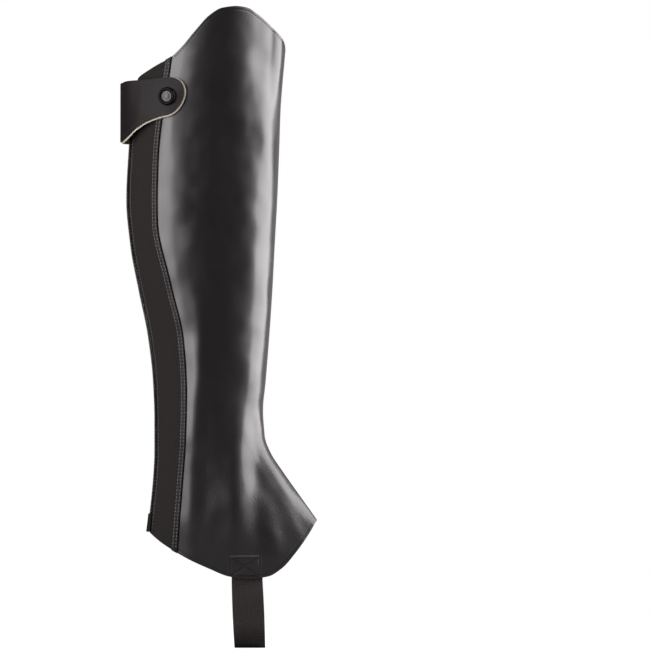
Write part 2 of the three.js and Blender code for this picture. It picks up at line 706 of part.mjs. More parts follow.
const SLIDER_HALF = 5.4;
const SLIDER_OUTLINE = [
  [-SLIDER_HALF + 1.6, -8],
  [SLIDER_HALF - 1.6, -8],
  [SLIDER_HALF, -6],
  [SLIDER_HALF, 3.5],
  [SLIDER_HALF - 2.4, 6],
  [-SLIDER_HALF + 2.4, 6],
  [-SLIDER_HALF, 3.5],
  [-SLIDER_HALF, -6],
];
const SLIDER_FACE = -2.9;       // outer face of the slider, from the back of the form
const PIVOT = -4.45;            // axis of the pull, from the back of the form

// The slider: two plates round the tapes, a wedge between them, and the arch that
// carries the pull. x is negative away from the leg.
const sliderSolids = [
  plate(SLIDER_OUTLINE, [SLIDER_FACE, SLIDER_FACE + 1.3]),
  plate(SLIDER_OUTLINE, [3.9, 4.9]),
  block([SLIDER_FACE + 0.5, 4.4], [-1.5, 1.5], [3, 5.6]),
  block([SLIDER_FACE - 3.6, SLIDER_FACE + 0.4], [-1, 1], [-3.1, 3.1]),
].map(toManifold);
const archOpening = toManifold(block([PIVOT - 1.25, PIVOT + 1.25], [-2, 2], [-2.1, 2.1]));
const slider = wasm.Manifold.union(sliderSolids).subtract(archOpening);

// The slider leans with the zip, and the pull hangs straight down from it.
const zipLean = leanOver(sectionCurves.back, SLIDER_Z, 6);
const zipHead = new THREE.Group();
zipHead.position.set(sectionCurves.back(SLIDER_Z), 0, SLIDER_Z);
zipHead.rotation.y = zipLean;
chap.add(zipHead);
add('zip_slider', toGeometry(slider), GUNMETAL, zipHead);

// The pull hangs on the arch by its top bar.
const PULL_LENGTH = 16;
const PULL = 1.2;
const PULL_OUTLINE = [
  [-3, 0.6],
  [-3.6, 3 - PULL_LENGTH],
  [-2.4, -PULL_LENGTH],
  [2.4, -PULL_LENGTH],
  [3.6, 3 - PULL_LENGTH],
  [3, 0.6],
];
const PULL_WINDOW = [[-1.5, -0.6], [1.5, -0.6], [1.5, -4.6], [-1.5, -4.6]];
const pullHang = new THREE.Group();
zipHead.updateMatrixWorld();
pullHang.position.copy(zipHead.localToWorld(new THREE.Vector3(PIVOT, 0, 0)));
chap.add(pullHang);
add('zip_pull', plate(PULL_OUTLINE, [-PULL / 2, PULL / 2], PULL_WINDOW), GUNMETAL, pullHang);

export default chap;
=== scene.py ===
# A tall leather half chap for the right leg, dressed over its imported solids.
# The shared frame is in metres: +Z up the leg, +X to the wearer's front, and the outer
# side of the leg is -Y. The pattern tables below are in millimetres, as a maker has them.

import math

import bmesh
import bpy
import numpy as np
from mathutils import Matrix, Vector


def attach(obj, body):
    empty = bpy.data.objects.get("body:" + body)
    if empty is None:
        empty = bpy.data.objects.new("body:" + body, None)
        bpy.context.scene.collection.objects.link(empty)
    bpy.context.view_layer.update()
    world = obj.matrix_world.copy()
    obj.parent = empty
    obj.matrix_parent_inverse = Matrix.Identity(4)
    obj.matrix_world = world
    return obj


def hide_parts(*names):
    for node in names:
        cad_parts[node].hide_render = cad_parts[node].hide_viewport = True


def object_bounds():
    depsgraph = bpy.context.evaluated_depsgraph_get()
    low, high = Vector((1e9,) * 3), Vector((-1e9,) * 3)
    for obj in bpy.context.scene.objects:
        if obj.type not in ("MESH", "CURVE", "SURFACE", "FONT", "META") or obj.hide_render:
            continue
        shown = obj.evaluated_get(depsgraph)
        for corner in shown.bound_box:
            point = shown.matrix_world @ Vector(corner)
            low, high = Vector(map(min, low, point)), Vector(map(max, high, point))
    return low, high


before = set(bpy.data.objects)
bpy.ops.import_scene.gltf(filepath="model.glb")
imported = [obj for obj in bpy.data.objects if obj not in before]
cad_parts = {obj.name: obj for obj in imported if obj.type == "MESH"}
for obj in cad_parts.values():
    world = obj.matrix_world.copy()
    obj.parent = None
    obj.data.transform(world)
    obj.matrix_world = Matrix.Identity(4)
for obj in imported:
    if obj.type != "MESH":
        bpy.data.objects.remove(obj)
cad_box = [list(corner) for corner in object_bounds()]
MM = 0.001


# --- Studio -------------------------------------------------------------------------
# A pale floor under the strap, and a camera a good way off with a long lens, level with
# the shin. Large soft panel lights on the right and left draw the two long highlights,
# and weaker ones beside, behind and above them soften their edges.

scene = bpy.context.scene
scene.view_settings.view_transform = "Standard"
scene.view_settings.look = "None"

CAMERA_AWAY = 12
VIEW_WIDTH = 0.572
camera = bpy.data.objects.new("camera", bpy.data.cameras.new("camera"))
camera.data.sensor_width = 36
camera.data.lens = 36 * CAMERA_AWAY / VIEW_WIDTH
camera.data.clip_end = 50
camera.location = (0.1080, -CAMERA_AWAY, -0.110)
camera.rotation_euler = (math.radians(90), 0, 0)
scene.collection.objects.link(camera)
scene.camera = camera

FLOOR_SIZE = 2.4
floor_mesh = bpy.data.meshes.new("floor")
sheet_grid = bmesh.new()
bmesh.ops.create_grid(sheet_grid, x_segments=2, y_segments=2, size=FLOOR_SIZE / 2)
bmesh.ops.translate(sheet_grid, verts=sheet_grid.verts, vec=(0, 0, cad_box[0][2] - 0.0005))
sheet_grid.to_mesh(floor_mesh)
sheet_grid.free()
floor = bpy.data.objects.new("floor", floor_mesh)
scene.collection.objects.link(floor)
# The paper of the floor looks white to the camera and throws little light up the leg.
paper = bpy.data.materials.new("white_paper")
paper.use_nodes = True
nodes, links = paper.node_tree.nodes, paper.node_tree.links
nodes.clear()
lit = nodes.new("ShaderNodeBsdfDiffuse")
lit.inputs["Color"].default_value = (0.3, 0.3, 0.3, 1)
glow = nodes.new("ShaderNodeEmission")
glow.inputs["Strength"].default_value = 0.92
white = nodes.new("ShaderNodeAddShader")
links.new(lit.outputs[0], white.inputs[0])
links.new(glow.outputs[0], white.inputs[1])
path = nodes.new("ShaderNodeLightPath")
pick = nodes.new("ShaderNodeMixShader")
links.new(path.outputs["Is Camera Ray"], pick.inputs[0])
links.new(lit.outputs[0], pick.inputs[1])
links.new(white.outputs[0], pick.inputs[2])
links.new(pick.outputs[0], nodes.new("ShaderNodeOutputMaterial").inputs[0])
floor_mesh.materials.append(paper)


def panel_light(name, turn, away, height, size, power, aim=None):
    """A soft panel light, turned this many degrees round the leg from the camera."""
    light = bpy.data.lights.new(name, "AREA")
    light.shape = "RECTANGLE"
    light.size, light.size_y = size
    light.energy = power
    light.color = (1, 0.968, 0.975)
    lamp = bpy.data.objects.new(name, light)
    bearing = math.radians(turn)
    towards = Vector((math.sin(bearing), -math.cos(bearing), 0))
    lamp.location = towards * away + Vector((0, 0, height))
    back = lamp.location - Vector((0, 0, height if aim is None else aim))
    lamp.rotation_euler = back.to_track_quat("Z", "Y").to_euler()
    scene.collection.objects.link(lamp)
    return lamp


panel_light("light_right", 96, 1.5, 0.5, (1.25, 2.0), 54)
panel_light("light_right_edge", 66, 1.6, 0.5, (0.7, 2.0), 1.5)
panel_light("light_behind", 156, 1.6, 0.5, (1.3, 2.0), 2.5)
panel_light("light_over", 64, 1.2, 0.95, (0.7, 0.7), 7, aim=0.1)
panel_light("light_left", -50, 1.7, 0.5, (0.85, 2.0), 30)
panel_light("light_left_edge", -30, 1.7, 0.5, (0.5, 2.0), 3.5)

world = bpy.data.worlds.new("studio")
scene.world = world
world.use_nodes = True
nodes, links = world.node_tree.nodes, world.node_tree.links
nodes.clear()
seen = nodes.new("ShaderNodeBackground")
seen.inputs["Color"].default_value = (1, 1, 1, 1)
around = nodes.new("ShaderNodeBackground")
around.inputs["Color"].default_value = (0.085, 0.08, 0.081, 1)
pick = nodes.new("ShaderNodeMixShader")
links.new(nodes.new("ShaderNodeLightPath").outputs["Is Camera Ray"], pick.inputs[0])
links.new(around.outputs[0], pick.inputs[1])
links.new(seen.outputs[0], pick.inputs[2])
links.new(pick.outputs[0], nodes.new("ShaderNodeOutputWorld").inputs[0])


# --- Shin panel ---------------------------------------------------------------------
# One piece of smooth black calf leather, 1.5 mm, from the gore over the outer side and
# the front of the leg round to the zip. Its outer side runs down over the foot, and it
# is wet-moulded at the ankle, where soft creases fan down to the hem.

LEATHER, SEAM_GAP = 1.5, 0.3
ZIP_OPENING, TAPE_WIDTH, TAPE_DEPTH = 7.5, 13.0, 1.8
STRIP_WIDTH = 5.5
LAP, LAP_RAMP, TUCK_RAMP = 7.0, 16.0, 34.0
VAMP_TOP, VAMP_CORNER, VAMP_CORNER_RUN = -200.0, 14.0, 12.0
RIDGE_RADIUS, RIDGE_REACH = 2.5, 12.0

# height, back, front, half width, place of the widest point, front power, back power
LEG = np.array(
    [
        (-350, -51, 143, 24.5, 0.39, 1.25, 2.3),
        (-331, -50, 131.5, 28, 0.41, 1.25, 2.3),
        (-310, -49, 117.5, 32.5, 0.43, 1.2, 2.3),
        (-282, -45.8, 99.2, 36.5, 0.46, 1.05, 2.3),
        (-260, -43.3, 83.6, 37, 0.48, 0.9, 2.2),
        (-240, -41.6, 69.5, 36.3, 0.49, 0.75, 2.2),
        (-222, -40.8, 58, 36.5, 0.5, 0.62, 2.1),
        (-208, -40.8, 53.2, 37, 0.5, 0.56, 2.1),
        (-194, -40.8, 52.6, 37.5, 0.5, 0.52, 2.1),
        (-160, -42, 55.8, 38.6, 0.5, 0.5, 2),
        (-120, -46.5, 59, 40, 0.5, 0.5, 2),
        (-80, -54.6, 61.7, 42, 0.5, 0.5, 2),
        (-40, -62, 63.8, 44.2, 0.5, 0.5, 2),
        (0, -65.5, 66, 46.6, 0.5, 0.5, 2),
        (45, -63.4, 67.8, 48.8, 0.5, 0.5, 2),
        (80, -60.4, 69, 49.8, 0.5, 0.5, 2),
        (104, -58, 70.8, 49.6, 0.5, 0.5, 2),
        (132, -55, 73.2, 48.2, 0.5, 0.5, 2),
        (175, -51, 75, 46, 0.5, 0.5, 2),
    ]
)
# x and height of the bottom edge, seen from the side
HEM = np.array(
    [
        (-52, -287), (-46, -293), (-34, -302.7), (-9, -317), (6, -324), (24, -331),
        (40, -333.2), (58, -331), (70, -324), (82.7, -309.8), (92.4, -295.7),
        (101, -281), (120, -262),
    ]
)  # fmt: skip
# angle round the leg from the zip, and height of the top edge
TOP = np.array(
    [
        (0, 104.5), (28, 112.5), (47, 120.5), (55.5, 124.5), (65, 134), (75, 148),
        (86, 162), (96, 168.5), (108, 170), (119, 168.5), (129, 163.5), (143, 155.5),
        (154, 148.5), (165, 141.5), (180, 133.5), (200, 127.5), (230, 120),
        (270, 114), (310, 109.5), (360, 104.5),
    ]
)  # fmt: skip
# height and x of the back edge of the stitched strip
STRIP_LINE = np.array(
    [
        (-330, -28), (-307, -26.6), (-282, -24.7), (-245, -21.6), (-211, -19.3),
        (-170, -18.4), (-123, -21.2), (-75, -31.9), (-18, -43.6), (0, -43.8),
        (34, -42.8), (69, -39.2), (107, -33.4), (135, -30),
    ]
)  # fmt: skip
# side (-1 outer, 1 inner, 0 both), x and height where the crease starts and ends, width,
# depth
CREASES = [
    (-1, 50, -180, 51, -338, 18, 3.1),
    (-1, 32, -176, 27, -332, 15, -1.8),
    (-1, 34, -188, 101, -319, 12, -1.7),
    (-1, 58, -226, 76, -318, 14, 1.0),
    (-1, 2, -206, 0, -296, 15, 0.7),
    (1, 46, -222, 70, -292, 10, 2.2),
    (1, 30, -212, 30, -280, 12, 1.6),
    (1, 38, -226, 52, -284, 9, -0.8),
    (1, 8, -224, -4, -258, 11, 1.2),
]
# The same for the shallow swells and hollows of the leather up the leg.
SWELLS = [
    (-1, -30, 124, -31, 22, 22, -1.3),
    (-1, -4, -98, 1, -182, 14, -0.5),
    (-1, 1, -60, -15, -385, 13, -1.5),
    (-1, 59, 140, 58, 10, 10, -0.7),
    (-1, 50, 66, 47, 28, 13, 0.5),
    (-1, 52, 6, 50, -24, 12, 0.45),
    (-1, 44, -30, 46, -72, 14, -0.4),
    (-1, 56, -86, 52, -114, 12, 0.5),
    (-1, 40, -120, 43, -168, 13, -0.35),
    (0, 57, 250, 59, 56, 34, 4.4),
    (1, -14, 76, 6, 30, 11, -0.7),
    (1, 49, 84, 46, 40, 14, 0.5),
    (1, 53, -8, 51, -46, 12, 0.4),
    (1, 42, -64, 45, -112, 15, -0.45),
    (1, 55, -104, 50, -140, 11, 0.5),
    (1, -12, -70, -8, -150, 13, 0.6),
    (1, 20, 40, 14, -30, 16, 0.4),
]
TOP_LEAN, LEAN_FROM, LEAN_RUN = 2.2, 120.0, 50.0
FRONT_FADE, CREASE_TAPER, CREASE_SPREAD = 10.0, 0.38, 0.6


def fair_curve(at, to):
    """A smooth curve through measured places that never overshoots them."""
    at, to = np.asarray(at, float), np.asarray(to, float)
    step = np.diff(to) / np.diff(at)
    slope = np.concatenate([step[:1], step[1:], step[-1:]])
    turns = step[:-1] * step[1:] <= 0
    both = np.where(turns, 1, step[:-1] + step[1:])
    slope[1:-1] = np.where(turns, 0, 2 * step[:-1] * step[1:] / both)

    def value(k):
        k = np.clip(k, at[0], at[-1])
        i = np.clip(np.searchsorted(at, k, side="right") - 1, 0, len(at) - 2)
        span = at[i + 1] - at[i]
        t = (k - at[i]) / span
        rise = t * t * (3 - 2 * t)
        bend = slope[i] * (1 - t) - slope[i + 1] * t
        return to[i] + (to[i + 1] - to[i]) * rise + span * t * (1 - t) * bend

    return value


def mix(a, b, t):
    return a + (b - a) * t


def ease(v):
    v = np.clip(v, 0, 1)
    return v * v * (3 - 2 * v)


leg_back, leg_front, leg_half, leg_widest, leg_toe, leg_heel = (
    fair_curve(LEG[:, 0], LEG[:, k]) for k in range(1, 7)
)
hem_height = fair_curve(*HEM.T)
top_height = fair_curve(*TOP.T)
strip_x = fair_curve(*STRIP_LINE.T)


def leg_outline(z, angle):
    """x and half width of the leg form, for an angle from 0 at the back to pi in front."""
    back, front, half = leg_back(z), leg_front(z), leg_half(z)
    centre = mix(back, front, leg_widest(z))
    c = np.cos(angle)
    out = np.maximum(0, np.sin(angle))
    heel = 2 / leg_heel(z)
    short = (front - centre) * (1 + c)
    rounding = 2 * RIDGE_RADIUS * short * np.exp(-short / RIDGE_REACH)
    fore = np.sqrt((half * out ** (2 * leg_toe(z))) ** 2 + rounding)
    rear = c >= 0
    x = np.where(rear, centre - (centre - back) * np.abs(c) ** heel, front - short)
    return x, np.where(rear, half * out**heel, fore)


# Distances round the leg, measured once at each millimetre of height.
LEVELS = np.arange(-352.0, 184.0)
ANGLES = np.linspace(0, math.pi, 721)
SHARES = np.linspace(0, 1, 801)
_x, _y = leg_outline(LEVELS[:, None], ANGLES[None, :])
ARCS = np.concatenate(
    [np.zeros((len(LEVELS), 1)), np.cumsum(np.hypot(np.diff(_x), np.diff(_y)), axis=1)], axis=1
)
half_girth = fair_curve(LEVELS, ARCS[:, -1])
TURN = np.array([np.interp(SHARES, arc / arc[-1], ANGLES) for arc in ARCS])


def between(table, z, share):
    """The value of a table kept by level and share, at any height and share."""
    row = np.clip(z - LEVELS[0], 0, len(LEVELS) - 1.001)
    column = np.clip(share, 0, 1) * (len(SHARES) - 1.001)
    i, j = row.astype(int), column.astype(int)
    a, b = row - i, column - j
    low = mix(table[i, j], table[i, j + 1], b)
    return mix(low, mix(table[i + 1, j], table[i + 1, j + 1], b), a)


def place(z, d):
    """Points of the leg form at height z and distance d round it from the zip."""
    z, d = np.broadcast_arrays(np.asarray(z, float), np.asarray(d, float))
    half = half_girth(z)
    turned = np.mod(d, 2 * half)
    inner = turned > half
    angle = between(TURN, z, np.where(inner, 2 * half - turned, turned) / half)
    x, out = leg_outline(z, angle)
    degrees = np.degrees(angle)
    point = np.stack([x, np.where(inner, out, -out), z], axis=-1)
    return point, inner, np.where(inner, 360 - degrees, degrees)


def outward(z, d, step=0.4):
    """The form's outward normals."""
    along = place(z, d + step)[0] - place(z, d - step)[0]
    up = place(z + step, d)[0] - place(z - step, d)[0]
    normal = np.cross(along, up)
    return normal / np.linalg.norm(normal, axis=-1, keepdims=True)


def crease_depth(point, inner):
    """How far the leather is pushed in by its creases, and leans in below the knee."""
    x, z = point[..., 0], point[..., 2]
    depth = TOP_LEAN * np.clip((z - LEAN_FROM) / LEAN_RUN, 0, 1.2) ** 2
    front_share = ease((leg_front(z) - x) / FRONT_FADE)
    for side, x0, z0, x1, z1, width, deep in CREASES + SWELLS:
        dx, dz = x1 - x0, z1 - z0
        length = math.hypot(dx, dz)
        along = ((x - x0) * dx + (z - z0) * dz) / length**2
        across = ((x - x0) * dz - (z - z0) * dx) / length
        taper = ease(np.minimum(along, 1 - along) / CREASE_TAPER)
        dent = deep * taper * np.exp(-((across / (width * CREASE_SPREAD)) ** 2))
        depth += np.where((side == 0) | (inner == (side > 0)), dent * front_share, 0)
    return depth


def skin(z, d, offset=0.0):
    """Points on the leg form, moved out by an offset, with the creases pressed in."""
    point, inner, _ = place(z, d)
    push = np.asarray(offset - crease_depth(point, inner))
    return point + outward(z, d) * push[..., None]


def distance_to_x(z, x):
    """Distance round the outer back of the leg to a given x."""
    back, front = leg_back(z), leg_front(z)
    centre = mix(back, front, leg_widest(z))
    angle = np.arccos(np.clip((centre - x) / (centre - back), 0, 1) ** (leg_heel(z) / 2))
    row = np.clip(np.round(z - LEVELS[0]).astype(int), 0, len(LEVELS) - 1)
    share = angle / math.pi * (len(ANGLES) - 1)
    i = np.minimum(share.astype(int), len(ANGLES) - 2)
    return mix(ARCS[row, i], ARCS[row, i + 1], share - i)


strip_back = fair_curve(LEVELS[::4], distance_to_x(LEVELS[::4], strip_x(LEVELS[::4])))


def root(rising, low, high, shape):
    """Where rising functions cross zero, one for each column."""
    low, high = np.full(shape, float(low)), np.full(shape, float(high))
    for _ in range(36):
        middle = (low + high) / 2
        above = rising(middle) > 0
        low, high = np.where(above, low, middle), np.where(above, middle, high)
    return (low + high) / 2


def from_zip(distance):
    """A line up the leg at a distance from the zip."""
    return lambda z: np.full(np.shape(z), float(distance))


def from_front(distance):
    """A line up the leg at a distance past the middle of the front."""
    return lambda z: half_girth(z) + distance


class Cut:
    """How a panel is cut: its lines up the leg, and its edges round the leg.

    lines are pairs of a line and how many faces lie before it. edges are pairs of a
    height for each column and how many faces lie below it.
    """

    def __init__(self, lines, edges):
        self.lines = [line for line, _ in lines]
        self.line_at = np.cumsum([count for _, count in lines])
        self.across = int(self.line_at[-1])
        self.edge_at = np.cumsum([count for _, count in edges])
        self.up = int(self.edge_at[-1])
        columns = np.arange(self.across + 1.0)
        self.edges = np.array([edge(self, columns) for edge, _ in edges])

    def distance(self, column, z):
        """Distance round the leg of a column at a height."""
        i = np.clip(np.searchsorted(self.line_at, column, side="right") - 1, 0, None)
        i = np.minimum(i, len(self.lines) - 2)
        lines = np.array([np.broadcast_to(line(z), np.shape(z)) for line in self.lines])
        t = (column - self.line_at[i]) / (self.line_at[i + 1] - self.line_at[i])
        pick = tuple(np.indices(np.shape(z)))
        return mix(lines[(i,) + pick], lines[(i + 1,) + pick], t)

    def height(self, column, row):
        i = np.clip(np.searchsorted(self.edge_at, row, side="right") - 1, 0, None)
        i = np.minimum(i, len(self.edge_at) - 2)
        t = (row - self.edge_at[i]) / (self.edge_at[i + 1] - self.edge_at[i])
        column = column.astype(int)
        return mix(self.edges[i, column], self.edges[i + 1, column], t)


HEM_SPAN, TOP_SPAN = (-345, -262), (90, 175)


def hem_edge(cut, columns):
    def over(z):
        return z - hem_height(place(z, cut.distance(columns, z))[0][..., 0])

    return root(over, *HEM_SPAN, columns.shape)


def top_edge(cut, columns):
    def over(z):
        return z - top_height(place(z, cut.distance(columns, z))[2])

    return root(over, *TOP_SPAN, columns.shape)


def vamp_seam(rise):
    """Lower edge of the shin panel where it laps over the inner vamp, or a line above it."""

    def edge(cut, columns):
        level = np.full(columns.shape, VAMP_TOP)
        past = cut.distance(columns, level) - half_girth(level)
        return VAMP_TOP - VAMP_CORNER * (1 - ease(past / VAMP_CORNER_RUN)) + rise

    return edge


def flat_grid(across, up):
    """A flat grid of faces, with the shares across and up of each of its points."""
    grid = bmesh.new()
    bmesh.ops.create_grid(grid, x_segments=across, y_segments=up, size=1)
    flat = np.array([v.co[:2] for v in grid.verts])
    return grid, (flat[:, 0] + 1) / 2, (flat[:, 1] + 1) / 2


def lay(grid, points, **maps):
    """Moves a grid to points in millimetres, with UV maps given in metres."""
    for name, (across, up) in maps.items():
        uv = grid.loops.layers.uv.new(name)
        for face in grid.faces:
            for loop in face.loops:
                k = loop.vert.index
                loop[uv].uv = (across[k], up[k])
    for vertex, point in zip(grid.verts, points * MM, strict=True):
        vertex.co = point


def panel(name, cut, offset, thick, keep=None):
    """A panel of the wall: a grid moved onto the form, with its flat cut as its UV map."""
    grid, u, v = flat_grid(cut.across, cut.up)
    column, row = np.round(u * cut.across), np.round(v * cut.up)
    z = cut.height(column, row)
    d = cut.distance(column, z)
    out = offset(z, d, column) if callable(offset) else np.full(z.shape, float(offset))
    to_hem, to_top = z - cut.edges[0][column.astype(int)], cut.edges[-1][column.astype(int)] - z
    lay(grid, skin(z, d, out), cut=(d * MM, z * MM), rim=(to_hem * MM, to_top * MM))
    if keep is not None:
        drop = []
        for face in grid.faces:
            corners = [v.index for v in face.verts]
            if not keep(column[corners].min(), row[corners].min()):
                drop.append(face)
        bmesh.ops.delete(grid, geom=drop, context="FACES")
    return hang(name, grid, thick)


def hang(name, grid, thick=0.0, edge=0.3):
    """Puts a mesh in the scene, gives a cloth its thickness and rounds its cut edges."""
    for face in grid.faces:
        face.smooth = True
    mesh = bpy.data.meshes.new(name)
    grid.to_mesh(mesh)
    grid.free()
    piece = bpy.data.objects.new(name, mesh)
    scene.collection.objects.link(piece)
    if thick:
        wall = piece.modifiers.new("thickness", "SOLIDIFY")
        wall.thickness = thick * MM
        wall.offset = -1
        wall.use_even_offset = True
        rim = piece.modifiers.new("rounded_edges", "BEVEL")
        rim.width = edge * MM
        rim.segments = 2
        rim.limit_method = "ANGLE"
        rim.angle_limit = math.radians(50)
        rim.harden_normals = True
    return piece


class Socket:
    """A socket in a material. Arithmetic on it adds Math nodes."""

    def __init__(self, tree, socket=None):
        self.tree, self.socket = tree, socket

    def node(self, kind, settings=None, values=None, output=0):
        made = self.tree.nodes.new("ShaderNode" + kind)
        for name, value in (settings or {}).items():
            if name != "stops":
                setattr(made, name, value)
                continue
            stops = made.color_ramp.elements
            while len(stops) < len(value):
                stops.new(0.5)
            for stop, (position, colour) in zip(stops, value, strict=True):
                stop.position, stop.color = position, colour
        for name, value in (values or {}).items():
            if isinstance(value, Socket):
                self.tree.links.new(value.socket, made.inputs[name])
            else:
                made.inputs[name].default_value = value
        return Socket(self.tree, made.outputs[output])

    def maths(self, operation, *values):
        return self.node("Math", {"operation": operation}, dict(enumerate(values)))

    def axis(self, name):
        """One coordinate of a position."""
        return self.node("SeparateXYZ", {}, {"Vector": self}, name)

    def noise(self, scale, detail, **more):
        """Noise over a position."""
        return self.node("TexNoise", {}, {"Vector": self, "Scale": scale, "Detail": detail, **more})

    def sine(self):
        return self.maths("SINE", self)

    def __abs__(self):
        return self.maths("ABSOLUTE", self)

    def __add__(self, other):
        return self.maths("ADD", self, other)

    __radd__ = __add__

    def __sub__(self, other):
        return self.maths("SUBTRACT", self, other)

    def __rsub__(self, other):
        return self.maths("SUBTRACT", other, self)

    def __mul__(self, other):
        return self.maths("MULTIPLY", self, other)

    __rmul__ = __mul__

    def ramp(self, low, high, to_low=0.0, to_high=1.0):
        """An eased step from low to high."""
        span = {"Value": self, "From Min": low, "From Max": high, "To Min": to_low, "To Max": to_high}
        return self.node("MapRange", {"interpolation_type": "SMOOTHSTEP"}, span)

    def blend(self, first, second):
        """A colour between two, by this socket."""
        pair = {"Factor": self, "A": first, "B": second}
        mixed = self.node("Mix", {"data_type": "RGBA"}, {})
        node = mixed.socket.node
        for key, index in (("Factor", 0), ("A", 6), ("B", 7)):
            value = pair[key]
            if isinstance(value, Socket):
                self.tree.links.new(value.socket, node.inputs[index])
            else:
                node.inputs[index].default_value = value
        return Socket(self.tree, node.outputs[2])


def rgb(red, green, blue):
    """A colour as it looks on a screen, from 0 to 255, for a socket."""

    def linear(v):
        v /= 255
        return v / 12.92 if v <= 0.04045 else ((v + 0.055) / 1.055) ** 2.4

    return (linear(red), linear(green), linear(blue), 1.0)


def new_finish(name, colour, roughness, **fixed):
    """A material, its shader, and a socket to start its pattern from."""
    made = bpy.data.materials.new(name)
    made.use_nodes = True
    tree = made.node_tree
    tree.nodes.clear()
    shader = tree.nodes.new("ShaderNodeBsdfPrincipled")
    out = tree.nodes.new("ShaderNodeOutputMaterial")
    tree.links.new(shader.outputs[0], out.inputs[0])
    shader.inputs["Base Color"].default_value = colour
    shader.inputs["Roughness"].default_value = roughness
    for key, value in fixed.items():
        shader.inputs[key.replace("_", " ").title()].default_value = value
    return made, shader, Socket(tree)


def feed(shader, **sockets):
    for key, value in sockets.items():
        value.tree.links.new(value.socket, shader.inputs[key.replace("_", " ").title()])


def bump(height, distance, under=None):
    """A Bump node for a height from 0 to 1 that stands distance millimetres."""
    values = {"Height": height, "Distance": distance * MM, "Strength": 1.0}
    if under is not None:
        values["Normal"] = under
    return height.node("Bump", {}, values)


def smooth_leather(name, colour, roughness, grain, **fixed):
    """Polished black leather: fine grain, soft unevenness from the hand, creased at the ankle."""
    made, shader, start = new_finish(name, colour, roughness, **fixed)
    where = start.node("TexCoord", {}, {}, "Object")
    height = where.axis("Z")
    flexed = height.ramp(-0.185, -0.235) * height.ramp(-0.325, -0.285)
    pores = start.node(
        "TexVoronoi", {"feature": "DISTANCE_TO_EDGE"}, {"Vector": where, "Scale": 780, "Randomness": 0.9}
    )
    fine = where.noise(1500, 3)
    broad = where.noise(26, 4, Roughness=0.55)
    pebble = pores.ramp(0.0, 0.22) * 0.7 + fine * 0.5
    creased = where.noise(620, 3, Distortion=0.5)
    handled = where.noise(32, 1, Roughness=0.4)
    lines = bump(creased * (flexed * 0.8 + 0.2), 0.16, bump(pebble, grain, bump(handled, 3.2)))
    feed(
        shader,
        normal=lines,
        roughness=broad.ramp(0.25, 0.75, roughness - 0.015, roughness + 0.02) + flexed * 0.08,
        coat_weight=(1 - flexed * 0.45) * fixed.get("coat_weight", 0.0),
        base_color=broad.ramp(0.3, 0.8).blend(colour, tuple(1.15 * c for c in colour[:3]) + (1,)),
    )
    return made, shader, lines


BOX_LEFT, BOX_RIGHT, BOX_TOP, BOX_FOOT = 25.0, 50.5, -313.5, -330.5
EDGE_STITCH = 3.0
black_leather, leather_shader, lines = smooth_leather(
    "black_leather", rgb(18, 15, 15), 0.36, 0.006, coat_weight=0.6, coat_roughness=0.2
)
# A row of stitches pulls a groove along the top edge and the hem, and rolls the edge.
rim = lines.node("UVMap", {"uv_map": "rim"})
groove = None
for axis, depth in (("X", 0.5), ("Y", 0.6)):
    inset = rim.axis(axis) * (1 / MM)
    line = abs(inset - EDGE_STITCH).ramp(0.1, 1.3) * depth
    roll = inset.ramp(-0.2, 1.4) * depth
    groove = line + roll if groove is None else groove + line + roll
# So does the box of stitches over the strap, with the cross in it.
where = lines.node("TexCoord", {}, {}, "Object")
box_x = where.axis("X") * (1 / MM) - (BOX_LEFT + BOX_RIGHT) / 2
box_z = where.axis("Z") * (1 / MM) - (BOX_TOP + BOX_FOOT) / 2
half_box_x, half_box_z = (BOX_RIGHT - BOX_LEFT) / 2, (BOX_TOP - BOX_FOOT) / 2
beyond_x = abs(box_x) - half_box_x
beyond_z = abs(box_z) - half_box_z
outside = beyond_x.maths("MAXIMUM", beyond_x, beyond_z)
near_frame = abs(outside)
rise, fall = box_z * (half_box_x / half_box_z) - box_x, box_z * (half_box_x / half_box_z) + box_x
cross = rise.maths("MINIMUM", abs(rise), abs(fall)) * 0.6
sewn = near_frame.maths("MINIMUM", near_frame, cross.maths("MAXIMUM", cross, outside * 3))
pillow = sewn.ramp(0.2, 1.9) * outside.ramp(2.6, 0.4)
feed(leather_shader, normal=bump(pillow, 0.55, bump(groove * 0.4, 0.5, lines)))


def shin_back(z):
    return strip_back(z) + (STRIP_WIDTH + SEAM_GAP) / 2


def inner_edge(z):
    return 2 * half_girth(z) - ZIP_OPENING


FOOT_ROWS, SHIN_ROWS = 56, 150
SIDE_COLUMNS, RIDGE_COLUMNS = 62, 16
shin_cut = Cut(
    [
        (shin_back, 0),
        (from_front(-RIDGE_COLUMNS), SIDE_COLUMNS),
        (half_girth, RIDGE_COLUMNS),
        (from_front(RIDGE_COLUMNS), 14),
        (inner_edge, SIDE_COLUMNS),
    ],
    [(hem_edge, 0), (vamp_seam(0), FOOT_ROWS), (top_edge, SHIN_ROWS)],
)
SHIN_FRONT = SIDE_COLUMNS + RIDGE_COLUMNS


def lap_lift(z, d, column):
    """The shin panel is lifted where it laps over the inner vamp."""
    seam = shin_cut.edges[1][column.astype(int)]
    to_lap = np.maximum(0, half_girth(z) - LAP - d) / LAP_RAMP
    to_tuck = np.maximum(0, z - seam - LAP) / TUCK_RAMP
    return (LEATHER + SEAM_GAP) * (1 - ease(np.hypot(to_lap, to_tuck)))


shin_panel = panel(
    "shin_panel", shin_cut, lap_lift, LEATHER,
    keep=lambda column, row: column < SHIN_FRONT or row >= FOOT_ROWS,
)  # fmt: skip
shin_panel.data.materials.append(black_leather)
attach(shin_panel, "chap")
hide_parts("shin_leather")


